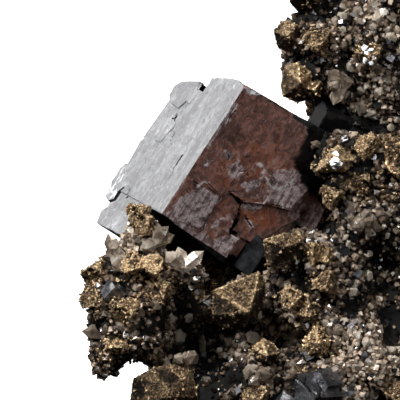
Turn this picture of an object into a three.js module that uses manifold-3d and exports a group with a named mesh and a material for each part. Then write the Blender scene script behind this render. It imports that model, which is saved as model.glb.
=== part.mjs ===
// A chalcopyrite specimen: brassy chalcopyrite sphenoids on a druse of quartz points, with one large stepped
// cube of galena held in the upper left. The rock under them is sawn flat, and the specimen stands on that cut.
//
// Millimetres, +Z up. The origin is on the sawn base, under the middle of the specimen. The rock was a slab
// that grew crystals on its front, -Y. Everything is placed in the slab's own frame (x to the right, y into the
// rock, z up the slab), and the whole slab leans back by LEAN, so that the base is a slanting cut across it.
//
// Crystals of one species that grow through each other are joined into one solid. Different species keep
// CLEARANCE between them: galena keeps its whole shape, chalcopyrite gives way to it, quartz to both, and the
// rock to all of them.

import * as THREE from "three";
import { ConvexGeometry } from "three/addons/geometries/ConvexGeometry.js";
import { mergeVertices } from "three/addons/utils/BufferGeometryUtils.js";
import Module from "manifold-3d";

const wasm = await Module();
wasm.setup();

// ---------------------------------------------------------------- driving dimensions

const LEAN = THREE.MathUtils.degToRad(12); // how far the slab leans back
const MIDDLE = new THREE.Vector2(2.3, 15.25); // of the leaning specimen, from the slab frame's origin
const CLEARANCE = 0.32; // between two species, and between a crystal and the rock
const CRUMB = 20; // cubic millimetres; a cut may shed pieces up to this size, and they are dropped

const CUBE_EDGE_TILT = THREE.MathUtils.degToRad(57); // the cube's front edge, from the horizontal
const CUBE_TURN = THREE.MathUtils.degToRad(25); // how far the broad front face turns away to the right
const CUBE_CORNER = new THREE.Vector3(-9.2, -8, 74.4); // upper end of the front edge
const CUBE_BROAD = 26; // width of the front face
const CUBE_LONG = 30; // length of the front edge
const CUBE_DEEP = 28; // width of the left face, into the slab

const SPHENOID_STRETCH = 1.02; // how far chalcopyrite's form is from a regular tetrahedron

const POINT = { sides: 6, foot: 0.86, pyramid: 1.15 }; // a quartz point's foot radius and tip height, per radius
const SPRAY_KNOT = 0.5; // radius of the knot that a spray of points grows from, per length of a point
const SPRAY_LENGTHS = [0.9, 1.3]; // shortest and longest point of a spray
const SPRAY_WIDTHS = [0.24, 0.32]; // slimmest and stoutest point, radius per length

const TWIN = { size: 0.62, askew: 6, offset: [0.32, 0.2, 0.3] }; // the second cube on a small galena, per edge
const SMALL_GALENA_DEPTH = 0.94; // a small galena's third edge, per edge

const CHUNK_DETAIL = 1; // how finely a chunk of rock is faceted
const SQUARENESS = 3; // of a chunk; 2 would make it round
const CHUNK_ROUGHNESS = 0.11; // how far a chunk's corners lie in or out, as a share of their reach
const SEEDS = { slabs: 100, lumps: 200, hollows: 300, sprays: 500 };

const AIR = 100; // reaches past the specimen on every side

const DEGREES = Math.PI / 180;

// ---------------------------------------------------------------- solids

// A repeatable stream of numbers from 0 to 1.
function randomStream(seed) {
  let state = seed;
  return () => {
    state = (state + 0x6d2b79f5) | 0;
    let mixed = Math.imul(state ^ (state >>> 15), 1 | state);
    mixed = (mixed + Math.imul(mixed ^ (mixed >>> 7), 61 | mixed)) ^ mixed;
    return ((mixed ^ (mixed >>> 14)) >>> 0) / 2 ** 32;
  };
}

// The geometry with its positions alone, and each shared corner held once.
function bare(geometry) {
  const positions = new THREE.BufferGeometry();
  positions.setAttribute("position", geometry.getAttribute("position").clone());
  if (geometry.index) positions.setIndex(geometry.index.clone());
  return mergeVertices(positions, 1e-4);
}

function solidOf(geometry, matrix = new THREE.Matrix4()) {
  const merged = bare(geometry).applyMatrix4(matrix);
  const corners = merged.index.array;
  const triangles = [];
  for (let i = 0; i < corners.length; i += 3) {
    const [a, b, c] = [corners[i], corners[i + 1], corners[i + 2]];
    if (a !== b && b !== c && c !== a) triangles.push(a, b, c);
  }
  return new wasm.Manifold(
    new wasm.Mesh({
      numProp: 3,
      vertProperties: merged.attributes.position.array,
      triVerts: Uint32Array.from(triangles),
    }),
  );
}

function geometryOf(solid) {
  const { vertProperties, triVerts, numProp, numVert } = solid.getMesh();
  const positions = new Float32Array(numVert * 3);
  for (let i = 0; i < numVert; i++) positions.set(vertProperties.subarray(i * numProp, i * numProp + 3), i * 3);
  const geometry = new THREE.BufferGeometry();
  geometry.setAttribute("position", new THREE.BufferAttribute(positions, 3));
  geometry.setIndex(new THREE.BufferAttribute(triVerts, 1));
  return geometry;
}

function union(solids) {
  return solids.reduce((whole, solid) => whole.add(solid));
}

// What a cut leaves, without the crumbs that it cuts loose.
function withoutCrumbs(solid) {
  const bodies = solid.decompose().sort((one, other) => other.volume() - one.volume());
  if (bodies.length > 1 && bodies[1].volume() > CRUMB) throw new Error("a cut has parted a solid");
  return bodies[0];
}

function placement(at, turn = [0, 0, 0]) {
  const rotation = new THREE.Euler(...turn.map((angle) => angle * DEGREES));
  return new THREE.Matrix4().makeRotationFromEuler(rotation).setPosition(...at);
}

// Distance from the origin to the nearest face of a convex geometry round it.
function nearestFace(geometry) {
  const flat = geometry.index ? geometry.toNonIndexed() : geometry;
  const corner = flat.getAttribute("position");
  const [a, b, c] = [new THREE.Vector3(), new THREE.Vector3(), new THREE.Vector3()];
  const plane = new THREE.Plane();
  let nearest = Infinity;
  for (let i = 0; i < corner.count; i += 3) {
    a.fromBufferAttribute(corner, i);
    b.fromBufferAttribute(corner, i + 1);
    c.fromBufferAttribute(corner, i + 2);
    if (new THREE.Triangle(a, b, c).getArea() < 1e-6) continue;
    nearest = Math.min(nearest, Math.abs(plane.setFromCoplanarPoints(a, b, c).constant));
  }
  return nearest;
}

// A convex crystal, and the slightly larger form that its neighbours are cut by.
function convexCrystal(geometry, matrix) {
  const scale = 1 + CLEARANCE / nearestFace(geometry);
  const larger = matrix.clone().scale(new THREE.Vector3(scale, scale, scale));
  return { solid: solidOf(geometry, matrix), socket: solidOf(geometry, larger) };
}

// ---------------------------------------------------------------- chalcopyrite

const SPHENOID = [
  [1, 1, 1],
  [1, -1, -1],
  [-1, 1, -1],
  [-1, -1, 1],
];

// A sphenoid, which is a slightly stretched tetrahedron, with each corner cut off by a small face.
// Its radius is that of the uncut corners, and blunt is the share of an edge that each cut takes.
function sphenoidGeometry(radius, blunt) {
  const corners = SPHENOID.map(([x, y, z]) =>
    new THREE.Vector3(x, y, z * SPHENOID_STRETCH).normalize().multiplyScalar(radius),
  );
  const points = [];
  corners.forEach((from, i) =>
    corners.forEach((to, j) => {
      if (i !== j) points.push(from.clone().lerp(to, blunt));
    }),
  );
  return new ConvexGeometry(points);
}

// A crystal given by its own corners, for those whose faces are broad and uneven.
function corneredCrystal(corners) {
  const points = corners.map((corner) => new THREE.Vector3(...corner));
  const middle = points.reduce((sum, point) => sum.add(point), new THREE.Vector3()).divideScalar(points.length);
  const geometry = new ConvexGeometry(points.map((point) => point.sub(middle)));
  return convexCrystal(geometry, placement(middle.toArray()));
}

// The broad crystals, corner by corner.
const BROAD_CHALCOPYRITE = [
  {
    name: "centre_front",
    corners: [
      [-15.6, -10, 34.2], [-15.8, -10, 29.2], [-6.2, -8.5, 38], [-4.8, -7.5, 35.8], [-8.2, -15.5, 29.6],
      [-13.6, -9, 26.4], [-9.2, -11, 26.8], [-5.6, -9, 30.4], [-10, -3, 32],
    ],
  },
  {
    name: "under_cube",
    corners: [
      [-5.6, -8, 44.2], [-1.6, -10, 45.4], [2.4, -7, 45.6], [2.6, -8, 43.8], [-0.8, -10, 38],
      [-4.8, -8, 38.6], [-3.6, -6, 42], [-1.2, -12.6, 42.8], [-1, -3, 41],
    ],
  },
  {
    name: "cube_right",
    corners: [
      [4.4, -4, 57.4], [8, -7, 62], [9.6, -5, 63.2], [12.6, -4, 62.2], [13.4, -6, 60.2],
      [11, -8, 57.6], [8.8, -10.6, 60], [9, -1, 58],
    ],
  },
  {
    name: "upper_edge",
    corners: [
      [-1.2, -1, 78.8], [1.4, -3, 79.6], [4.2, -4, 77.6], [4.4, -4, 72], [1.2, -3, 71.2],
      [-1.6, -1, 72.6], [-2, 0, 74.8], [2, -7.2, 75.2], [4, 5, 75],
    ],
  },
  {
    name: "top_left",
    corners: [
      [-3.4, 0, 85.8], [-1.4, 1, 88], [1.2, -2, 87.2], [1.4, -2, 83.2], [-0.8, -1, 81.6],
      [-2.6, 0, 82.4], [-0.6, -5.8, 84.6], [3, 4, 85],
    ],
  },
  {
    name: "lower_right",
    corners: [
      [2, -9, 23], [5.2, -9, 28.2], [8.2, -9, 24], [7.4, -10, 20.6], [3, -10, 20.8],
      [5, -14.4, 23.6], [5, -5, 24],
    ],
  },
  {
    name: "lower_middle",
    corners: [
      [-7.8, -12, 22.8], [-5.6, -12, 24.6], [-3.8, -12, 24], [-1.8, -13, 22], [-4.4, -12, 18.8],
      [-7.4, -12, 20.4], [-4.8, -16.6, 21.4], [-5, -7, 22],
    ],
  },
  {
    name: "foot_left",
    corners: [
      [-31.4, -7, 16.6], [-27.6, -10, 18.8], [-23.6, -10, 19.8], [-19.4, -9, 18.4], [-18.2, -9, 13],
      [-20, -8, 7], [-28, -7, 5.6], [-32.4, -6, 10], [-25, -16, 13], [-25, 0, 12],
    ],
  },
];

// The rest: where, how big, turned how (degrees about x, y and z), and how blunt.
// Those of one name grow through each other.
const CHALCOPYRITE = [
  // round the front cavity and under the cube
  { name: "under_cube_right", at: [4.4, -6.4, 41.6], radius: 4.2, turn: [20, 40, 0], blunt: 0.25 },
  { name: "under_cube_right", at: [7.2, -6.4, 40.4], radius: 3.4, turn: [50, 5, 30], blunt: 0.25 },
  { name: "middle_right", at: [7, -8.6, 35.4], radius: 4.2, turn: [60, 10, 30], blunt: 0.25 },
  { name: "middle", at: [0.4, -9.4, 32.8], radius: 4.2, turn: [30, 80, 10], blunt: 0.3 },
  { name: "middle", at: [3, -9.4, 30.8], radius: 4, turn: [70, 20, 60], blunt: 0.25 },
  // right of the cube
  { name: "right_upper", at: [15.2, -6, 62.6], radius: 4.6, turn: [80, 10, 5], blunt: 0.28 },
  { name: "right_outer", at: [21, -6, 62.4], radius: 5, turn: [20, 65, 15], blunt: 0.28 },
  { name: "right_outer", at: [21.4, -6.4, 58.4], radius: 4.6, turn: [75, 35, 20], blunt: 0.28 },
  { name: "right_middle", at: [14, -6.6, 55.4], radius: 4.2, turn: [0, 35, 60], blunt: 0.3 },
  { name: "right_step", at: [8.4, -5.4, 52.8], radius: 4.2, turn: [45, 60, 0], blunt: 0.25 },
  // upper lobe
  { name: "upper_edge", at: [5, -4.6, 74.2], radius: 2.8, turn: [60, 20, 10], blunt: 0.28 },
  { name: "top_front", at: [5.6, -3.4, 83.4], radius: 5, turn: [70, 30, 10], blunt: 0.28 },
  { name: "top_edge", at: [3.2, 1, 92], radius: 5, turn: [10, 50, 70], blunt: 0.25 },
  { name: "upper_right", at: [15.8, -5.4, 80.6], radius: 4.8, turn: [50, 45, 20], blunt: 0.3 },
  { name: "crown", at: [12, 3, 98.4], radius: 5, turn: [20, 30, 70], blunt: 0.25 },
  { name: "crown_right", at: [27, 1, 92], radius: 5, turn: [75, 15, 40], blunt: 0.25 },
  // left arm
  { name: "arm_top", at: [-30.2, -6.6, 49.6], radius: 4.2, turn: [25, 60, 15], blunt: 0.3 },
  { name: "arm_top", at: [-28.6, -7.8, 46.6], radius: 4, turn: [65, 10, 40], blunt: 0.3 },
  { name: "arm_crest", at: [-31, -13, 39.4], radius: 4.4, turn: [40, 20, 75], blunt: 0.3 },
  { name: "arm_crest", at: [-27.4, -13.4, 39], radius: 4.2, turn: [80, 50, 20], blunt: 0.3 },
  { name: "arm_left", at: [-38.6, -7, 37.6], radius: 4.8, turn: [10, 25, 35], blunt: 0.28 },
  { name: "arm_left", at: [-38.8, -6.4, 32.8], radius: 5.4, turn: [55, 0, 60], blunt: 0.28 },
  { name: "arm_middle", at: [-32.8, -13.4, 30.4], radius: 4.8, turn: [30, 70, 40], blunt: 0.25 },
  { name: "arm_right", at: [-25.6, -12, 34], radius: 4.4, turn: [0, 55, 25], blunt: 0.28 },
  { name: "arm_lower", at: [-34.4, -10.6, 23.4], radius: 4, turn: [20, 45, 80], blunt: 0.3 },
  // foot of the specimen
  { name: "foot_front", at: [-7, -15.5, 12.8], radius: 4.8, turn: [80, 25, 10], blunt: 0.28 },
  { name: "foot_right", at: [22, -8.5, 13], radius: 6, turn: [60, 35, 15], blunt: 0.24 },
  // right flank, which faces +X
  { name: "flank_upper", at: [40, 6, 71], radius: 6, turn: [35, 55, 10], blunt: 0.24 },
  { name: "flank_middle", at: [40.5, 0, 42], radius: 6.4, turn: [5, 20, 65], blunt: 0.24 },
  { name: "flank_lower", at: [40.5, 14, 22], radius: 6, turn: [65, 75, 20], blunt: 0.25 },
  // back of the slab
  { name: "back_upper", at: [16, 26, 84], radius: 6.4, turn: [20, 65, 30], blunt: 0.24 },
  { name: "back_middle", at: [26, 30.5, 54], radius: 7, turn: [50, 15, 70], blunt: 0.24 },
  { name: "back_left", at: [-14, 32, 24], radius: 6.4, turn: [75, 35, 15], blunt: 0.25 },
];

// ---------------------------------------------------------------- quartz

// A quartz point standing on the origin along +Z: a six-sided prism with a pyramid on top.
function quartzGeometry(radius, height) {
  const shoulder = height - radius * POINT.pyramid;
  const profile = [
    new THREE.Vector2(0, 0),
    new THREE.Vector2(radius * POINT.foot, 0),
    new THREE.Vector2(radius, shoulder),
    new THREE.Vector2(0, height),
  ];
  // Lathes turn about +Y and are centred here, so that a larger copy grows evenly.
  return new THREE.LatheGeometry(profile, POINT.sides).rotateX(Math.PI / 2).translate(0, 0, -height / 2);
}

function quartzPoint(root, direction, radius, height, spin) {
  const toward = new THREE.Quaternion().setFromUnitVectors(new THREE.Vector3(0, 0, 1), direction);
  const turned = toward.multiply(new THREE.Quaternion().setFromAxisAngle(new THREE.Vector3(0, 0, 1), spin));
  const middle = root.clone().addScaledVector(direction, height / 2);
  const matrix = new THREE.Matrix4().compose(middle, turned, new THREE.Vector3(1, 1, 1));
  return convexCrystal(quartzGeometry(radius, height), matrix);
}

// Sprays of quartz points: the root of each, the way it faces, the length of its points and how many.
const QUARTZ = [
  { name: "arm_neck", at: [-34.6, -7.6, 40.8], toward: [-0.3, -0.7, 0.7], length: 5, count: 3 },
  { name: "arm_neck_right", at: [-27.6, -8.6, 43.4], toward: [0.2, -1, 0.3], length: 4, count: 3 },
  { name: "arm_shoulder", at: [-21.4, -9.6, 38.6], toward: [0.1, -0.8, 0.7], length: 4.4, count: 4 },
  { name: "arm_side", at: [-36, -6.4, 25.4], toward: [-0.6, -0.8, 0.1], length: 4.4, count: 3 },
  { name: "cavity_floor", at: [-21, -7.6, 20], toward: [0.1, -1, 0.3], length: 4, count: 3 },
  { name: "foot_centre", at: [-4.6, -13, 17], toward: [0.1, -1, 0.2], length: 4.4, count: 4 },
  { name: "right_star", at: [14.6, -5.4, 48.2], toward: [0, -1, 0.1], length: 5, count: 4 },
  { name: "upper_front", at: [10.4, -4.4, 75.4], toward: [-0.2, -1, 0], length: 4.6, count: 4 },
  { name: "flank", at: [38.6, 4, 59], toward: [1, -0.3, 0.1], length: 5.6, count: 3 },
  { name: "back", at: [4, 31, 46], toward: [-0.1, 1, 0.2], length: 6, count: 3 },
];

function quartzSpray({ at, toward, length, count }, seed) {
  const random = randomStream(seed);
  const between = ([low, high]) => low + (high - low) * random();
  const way = new THREE.Vector3(...toward).normalize();
  const spread = () => between([-1, 1]);
  const knot = new THREE.OctahedronGeometry(length * SPRAY_KNOT);
  const points = [convexCrystal(knot, placement(at))];
  for (let i = 0; i < count; i++) {
    const height = length * between(SPRAY_LENGTHS);
    const radius = height * between(SPRAY_WIDTHS);
    const direction = way.clone().add(new THREE.Vector3(spread(), spread(), spread())).normalize();
    points.push(quartzPoint(new THREE.Vector3(...at), direction, radius, height, between([0, Math.PI])));
  }
  return points;
}

// ---------------------------------------------------------------- galena

// The cube's frame: x across the broad front face, y down the front edge, z into the crystal.
function cubeFrame() {
  const down = new THREE.Vector3(-Math.cos(CUBE_EDGE_TILT), 0, -Math.sin(CUBE_EDGE_TILT));
  const level = new THREE.Vector3(Math.sin(CUBE_EDGE_TILT), 0, -Math.cos(CUBE_EDGE_TILT));
  const across = level
    .multiplyScalar(Math.cos(CUBE_TURN))
    .add(new THREE.Vector3(0, Math.sin(CUBE_TURN), 0));
  const inward = new THREE.Vector3().crossVectors(across, down);
  return new THREE.Matrix4().makeBasis(across, down, inward).setPosition(CUBE_CORNER);
}

// A growth plate on the front face: an outline in x and y, from depth `from` to depth `to` along z.
function frontPlate(outline, from, to) {
  const shape = new THREE.Shape(outline.map(([x, y]) => new THREE.Vector2(x, y)));
  return new THREE.ExtrudeGeometry(shape, { depth: to - from, bevelEnabled: false }).translate(0, 0, from);
}

// A growth plate on the left face: an outline in z and y, from depth `from` to depth `to` along x.
function leftPlate(outline, from, to) {
  return frontPlate(outline, -to, -from).rotateY(-Math.PI / 2);
}

function block([x0, y0, z0], [x1, y1, z1]) {
  const size = [x1 - x0, y1 - y0, z1 - z0];
  return new THREE.BoxGeometry(...size).translate((x0 + x1) / 2, (y0 + y1) / 2, (z0 + z1) / 2);
}

// The large cube is a core with lower and higher plates of growth on its faces.
function largeCube() {
  const [w, l, d] = [CUBE_BROAD, CUBE_LONG, CUBE_DEEP];
  const profile = [
    [1.6, 0.5], [6, 0.1], [18, 2], [18.4, 3.6], [25, 5.4], [d, 7.6],
    [d + 0.6, 20], [d - 0.6, l], [d, l + 1], [1.6, l - 0.4],
  ];
  const parts = [
    leftPlate(profile, 0.4, w + 1),
    // the broad front face: one large plate, and a staircase of lower ones to its right and below it
    frontPlate(
      [
        [0, 0.2], [1.8, -0.6], [12, -1], [w - 1.6, -1.9], [w - 0.6, 2], [w - 1.8, 9.4], [w - 2.6, 15.4],
        [18.4, 17], [13.6, 19.2], [10, 19], [9.2, 20.8], [4.8, 19.8], [0, 19.6],
      ],
      0, 6,
    ),
    frontPlate([[0, 19.2], [4.8, 19.9], [9.3, 20.9], [8.6, 26.2], [9.4, 28.4], [0, l]], 0.14, 6),
    frontPlate(
      [[9.2, 20.6], [10, 19], [13.4, 20.2], [14.8, 25.8], [17.6, 25.4], [17.2, 31.6], [0, l - 0.1], [8.6, 26]],
      0.34, 6,
    ),
    frontPlate([[13.2, 18], [19, 16], [w + 0.4, 15], [w - 0.2, 17], [21.2, 25], [14.9, 25.8]], 1, 7),
    frontPlate([[w - 3, 8.4], [30.6, 11.6], [31.2, 16.6], [w - 1, 17.4], [22, 19]], 1.7, 9),
    frontPlate([[w - 3, -0.6], [w + 1.6, 0.4], [w + 2.2, 10.4], [w - 3, 10]], 2.6, 12),
    // the left face: two main plates, a lower one along the top and the far edge
    leftPlate([[0, 0.4], [2, -0.4], [7, -0.4], [17.6, 1.9], [17.8, 15], [9.5, 22], [0.1, 22]], 0, 4),
    leftPlate(
      [[0, 21], [9.5, 21.6], [17.4, 15], [24.5, 15], [d + 0.6, 20], [d - 0.6, l + 1], [0.1, l]],
      0.16, 4,
    ),
    leftPlate([[17.5, 3.8], [25, 5.4], [d, 7.6], [d + 1, 19], [24, 15.4], [17.5, 15.4]], 0.34, 4),
    // the lower left steps out beyond the front edge
    leftPlate([[5.6, l - 2], [d - 0.6, l], [24, l + 9], [9.8, l + 8.2]], 0.5, 13),
    leftPlate([[7, l - 2], [d - 2, l], [22, l + 6.4], [9, l + 6]], 12, 16),
    // the back
    frontPlate([[3, 8], [22, 9], [21, 22], [4, 20]], d - 2, d + 1.4),
    frontPlate([[12, 14], [w, 13], [w + 0.4, l - 3], [12, l - 3]], d - 2, d + 2.2),
  ];
  const pits = [
    block([-1, 1.4, 15.6], [1.6, 5, 18.6]), // a notch under the crown
    block([-1, 18.2, 7.1], [1, 21.4, 7.5]), // a slit in the left face
    block([-1, 11.8, 20.3], [0.8, 13.2, 20.7]),
  ];
  const sockets = [
    [[0, -1.9, 0], [w + 1, 31.6, d + 2.2]],
    [[w - 4, 8.4, 1.7], [31.2, 19, 9]],
    [[w - 3, -0.6, 2.6], [w + 2.2, 10.4, 12]],
    [[0.5, l - 2, 5.6], [16, l + 9, d - 0.6]],
  ];
  const frame = cubeFrame();
  const placed = (geometries) => union(geometries.map((geometry) => solidOf(geometry, frame)));
  const grown = ([from, to]) => block(from.map((v) => v - CLEARANCE), to.map((v) => v + CLEARANCE));
  return { solid: placed(parts).subtract(placed(pits)), socket: placed(sockets.map(grown)) };
}

// Smaller galena crystals: a cube of that edge with a second one grown askew through it.
const GALENA = [
  { name: "under_cube", at: [-8, 5.6, 41.4], edge: 8.4, turn: [0, 33, -20] },
  { name: "behind_cube", at: [8.4, 4.6, 67.4], edge: 6.8, turn: [20, 30, 12] },
  { name: "foot_front", at: [4.6, -13.6, 13.4], edge: 7, turn: [38, 24, 28] },
  { name: "foot_bright", at: [-1.6, -15.6, 10.6], edge: 5.2, turn: [30, 42, -12] },
  { name: "arm", at: [-35.2, -11.4, 33.8], edge: 3.4, turn: [15, 40, 25] },
  { name: "flank", at: [39.6, 17, 55], edge: 8, turn: [25, 35, 10] },
  { name: "back", at: [8, 31, 26], edge: 9, turn: [12, 48, 20] },
];

function smallGalena({ at, edge, turn }) {
  const whole = placement(at, turn);
  const first = convexCrystal(new THREE.BoxGeometry(edge, edge, edge * SMALL_GALENA_DEPTH), whole);
  const middle = new THREE.Vector3(...TWIN.offset).multiplyScalar(edge).applyMatrix4(whole);
  const askew = turn.map((angle) => angle + TWIN.askew);
  const twinEdge = edge * TWIN.size;
  const twin = new THREE.BoxGeometry(twinEdge, twinEdge, twinEdge);
  const second = convexCrystal(twin, placement(middle.toArray(), askew));
  return { solid: first.solid.add(second.solid), socket: first.socket.add(second.socket) };
}

// ---------------------------------------------------------------- rock

// The rock is broken slabs behind, and lumps in front of them: middle, half sizes, and turn about y.
const SLABS = [
  { at: [21, 14, 22], half: [19.5, 17, 26], turn: 5 },
  { at: [22, 14, 56], half: [18, 16, 24], turn: -8 },
  { at: [18, 12, 82], half: [16, 14, 17], turn: 12 },
  { at: [-2, 15, 13], half: [27, 16, 21], turn: -4 },
  { at: [0, 20, 38], half: [22, 12, 20], turn: 14 },
];
const LUMPS = [
  { at: [8, 6, 82], half: [9.5, 8.5, 10], turn: 0 },
  { at: [8, 5, 93], half: [8, 7, 7], turn: 20 },
  { at: [22, 3, 84], half: [12.5, 8, 15], turn: 12 },
  { at: [13, -1, 59], half: [8.5, 6, 7.6], turn: 15 },
  { at: [19, -1, 48], half: [10, 6, 9], turn: 0 },
  { at: [31, 2, 46], half: [9, 9, 15], turn: 10 },
  { at: [6, 3, 35], half: [12, 11, 11], turn: 20 },
  { at: [29.5, 0, 18], half: [10, 10, 16], turn: -8 },
  { at: [13, -3, 22], half: [9.5, 8.6, 9], turn: 0 },
  { at: [-2, -3, 13], half: [19, 12, 9.5], turn: -4 },
  { at: [-19.5, 3, 8], half: [11.5, 13, 11], turn: 6 },
  { at: [-31.5, -2, 31], half: [8.6, 11, 12.5], turn: 0 },
  { at: [-25, 8, 27], half: [8, 8, 10], turn: 0 },
  { at: [-8.4, 4, 31.5], half: [6, 8.5, 6], turn: 0 },
  { at: [-29, -3, 44], half: [4.5, 5, 6], turn: 0 },
  { at: [-36, -3, 21], half: [4.5, 5.5, 5], turn: 0 },
  { at: [-20.5, -5, 37], half: [5, 6, 3.6], turn: 0 },
];

// Hollows in the rock.
const HOLLOWS = [
  { at: [23, -9, 28], half: [4.4, 8, 5.6], turn: 0 },
  { at: [-16.5, -6, 27], half: [4.6, 13, 8], turn: 0 },
  { at: [-13, -6, 40.6], half: [6, 10, 3.4], turn: 0 },
  { at: [15, -6, 68.4], half: [9, 6, 2.8], turn: 0 },
];

// How far from its middle a squarish lump of the given half sizes reaches along a direction.
function reach(direction, half) {
  const sum = half.reduce((total, size, axis) => {
    return total + Math.abs(direction.getComponent(axis) / size) ** SQUARENESS;
  }, 0);
  return sum ** (-1 / SQUARENESS);
}

function chunk({ at, half, turn }, seed) {
  const random = randomStream(seed);
  const geometry = bare(new THREE.IcosahedronGeometry(1, CHUNK_DETAIL)).scale(...half);
  const corners = geometry.getAttribute("position");
  const corner = new THREE.Vector3();
  for (let i = 0; i < corners.count; i++) {
    corner.fromBufferAttribute(corners, i).normalize();
    const share = 1 + (2 * random() - 1) * CHUNK_ROUGHNESS;
    corner.multiplyScalar(reach(corner, half) * share);
    corners.setXYZ(i, corner.x, corner.y, corner.z);
  }
  return solidOf(geometry, placement(at, [0, turn, 0]));
}

function rock(sockets, floor) {
  const whole = union([
    ...SLABS.map((place, i) => chunk(place, SEEDS.slabs + i)),
    ...LUMPS.map((place, i) => chunk(place, SEEDS.lumps + i)),
  ]);
  const hollows = union(HOLLOWS.map((place, i) => chunk(place, SEEDS.hollows + i)));
  return withoutCrumbs(whole.subtract(hollows).subtract(union(sockets)).subtract(floor));
}

// ---------------------------------------------------------------- assembly

// Joins crystals that overlap, so that each group is one solid, named after its first member.
function joined(crystals) {
  const groups = [];
  for (const crystal of crystals) {
    const touching = groups.filter((group) => group.solid.intersect(crystal.solid).volume() > 0);
    const whole = touching[0] ?? { name: crystal.name, solid: crystal.solid, socket: crystal.socket };
    if (!touching.length) groups.push(whole);
    for (const other of [crystal, ...touching.slice(1)]) {
      whole.solid = whole.solid.add(other.solid);
      whole.socket = whole.socket.add(other.socket);
    }
    touching.slice(1).forEach((other) => groups.splice(groups.indexOf(other), 1));
  }
  return groups;
}

function mineral(color, roughness, metalness) {
  return new THREE.MeshStandardMaterial({ color, roughness, metalness, flatShading: true });
}

const MATERIALS = {
  galena: mineral(0x9a9aa0, 0.3, 1),
  chalcopyrite: mineral(0x8a6c3c, 0.45, 0.9),
  quartz: mineral(0xb8aa98, 0.25, 0),
  rock: mineral(0x4a4038, 0.8, 0),
};

const slab = new THREE.Group();
slab.rotation.x = -LEAN;
slab.position.set(-MIDDLE.x, -MIDDLE.y, 0);
slab.updateMatrix();
const toSlab = slab.matrix.clone().invert();
const floor = solidOf(block([-AIR, -AIR, -AIR], [AIR, AIR, 0]), toSlab);

function addMesh(name, solid, material) {
  const middle = new THREE.Vector3();
  const geometry = geometryOf(solid);
  geometry.computeBoundingBox();
  geometry.boundingBox.getCenter(middle);
  const mesh = new THREE.Mesh(geometry.translate(-middle.x, -middle.y, -middle.z), material);
  mesh.name = name;
  mesh.position.copy(middle);
  slab.add(mesh);
}

const galena = joined([
  { name: "galena_cube", ...largeCube() },
  ...GALENA.map((crystal) => ({ name: "galena_" + crystal.name, ...smallGalena(crystal) })),
]);
const galenaSockets = union(galena.map(({ socket }) => socket));

const chalcopyrite = joined([
  ...BROAD_CHALCOPYRITE.map(({ name, corners }) => ({
    name: "chalcopyrite_" + name,
    ...corneredCrystal(corners),
  })),
  ...CHALCOPYRITE.map(({ name, at, radius, turn, blunt }) => ({
    name: "chalcopyrite_" + name,
    ...convexCrystal(sphenoidGeometry(radius, blunt), placement(at, turn)),
  })),
]);
const chalcopyriteSockets = union(chalcopyrite.map(({ socket }) => socket));

const quartz = joined(
  QUARTZ.flatMap((spray, i) =>
    quartzSpray(spray, SEEDS.sprays + i).map((point) => ({ name: "quartz_" + spray.name, ...point })),
  ),
);
const quartzSockets = union(quartz.map(({ socket }) => socket));

const aboveFloor = (solid) => withoutCrumbs(solid.subtract(floor));
galena.forEach(({ name, solid }) => addMesh(name, aboveFloor(solid), MATERIALS.galena));
chalcopyrite.forEach(({ name, solid }) =>
  addMesh(name, aboveFloor(solid.subtract(galenaSockets)), MATERIALS.chalcopyrite),
);
quartz.forEach(({ name, solid }) =>
  addMesh(name, aboveFloor(solid.subtract(galenaSockets).subtract(chalcopyriteSockets)), MATERIALS.quartz),
);
addMesh("rock", rock([galenaSockets, chalcopyriteSockets, quartzSockets], floor), MATERIALS.rock);

const specimen = new THREE.Group();
specimen.add(slab);

export default specimen;
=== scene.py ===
"""The looks of a chalcopyrite specimen: a galena cube on brassy crystals and a druse of quartz grains.

Lengths are written in millimetres and become metres where an object is made. The slab frame is the rock's own:
x to the right, y into the rock, z up it. The slab leans back by LEAN, and the camera looks square at it. Pixels
are places in the camera's frame of 400 by 400.
"""

import math
from itertools import permutations, product

import bmesh
import bpy
import numpy as np
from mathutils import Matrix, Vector
from mathutils.bvhtree import BVHTree


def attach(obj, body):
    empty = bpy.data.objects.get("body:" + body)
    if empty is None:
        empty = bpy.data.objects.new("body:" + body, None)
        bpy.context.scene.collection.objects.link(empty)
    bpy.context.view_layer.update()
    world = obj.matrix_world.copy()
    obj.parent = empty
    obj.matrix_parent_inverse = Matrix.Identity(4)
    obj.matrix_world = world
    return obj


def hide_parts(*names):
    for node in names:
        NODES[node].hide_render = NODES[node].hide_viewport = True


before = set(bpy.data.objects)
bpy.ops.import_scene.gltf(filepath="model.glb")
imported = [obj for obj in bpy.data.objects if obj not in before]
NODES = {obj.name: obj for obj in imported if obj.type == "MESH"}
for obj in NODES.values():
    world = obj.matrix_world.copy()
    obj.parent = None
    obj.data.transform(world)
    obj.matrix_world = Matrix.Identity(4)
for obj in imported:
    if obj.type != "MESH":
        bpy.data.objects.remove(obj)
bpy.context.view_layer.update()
MM = 0.001


def placed(name, data):
    """A new object in the scene."""
    made = bpy.data.objects.new(name, data)
    bpy.context.scene.collection.objects.link(made)
    return made


def aim(thing, place, way):
    """Puts a camera or a lamp at a place and points it along a direction."""
    thing.location = place
    thing.rotation_euler = Vector(way).to_track_quat("-Z", "Y").to_euler()


# ---------------------------------------------------------------- slab, camera

LEAN = math.radians(12)
SHIFT = np.array([-2.3, -15.25, 0.0])  # from the slab frame's origin to the part's
VIEW_CENTRE = (-18.0, 0.0, 52.0)  # in the slab frame
VIEW_WIDTH, VIEW_DISTANCE = 80.0, 900.0
FRAME_PX = 400
PX = VIEW_WIDTH / FRAME_PX
SENSOR = 36
TURN = np.array([[1, 0, 0], [0, math.cos(LEAN), math.sin(LEAN)], [0, -math.sin(LEAN), math.cos(LEAN)]])


def to_world(points):
    """From the slab frame to the part's, both in millimetres."""
    return np.asarray(points, float) @ TURN.T + SHIFT


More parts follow.
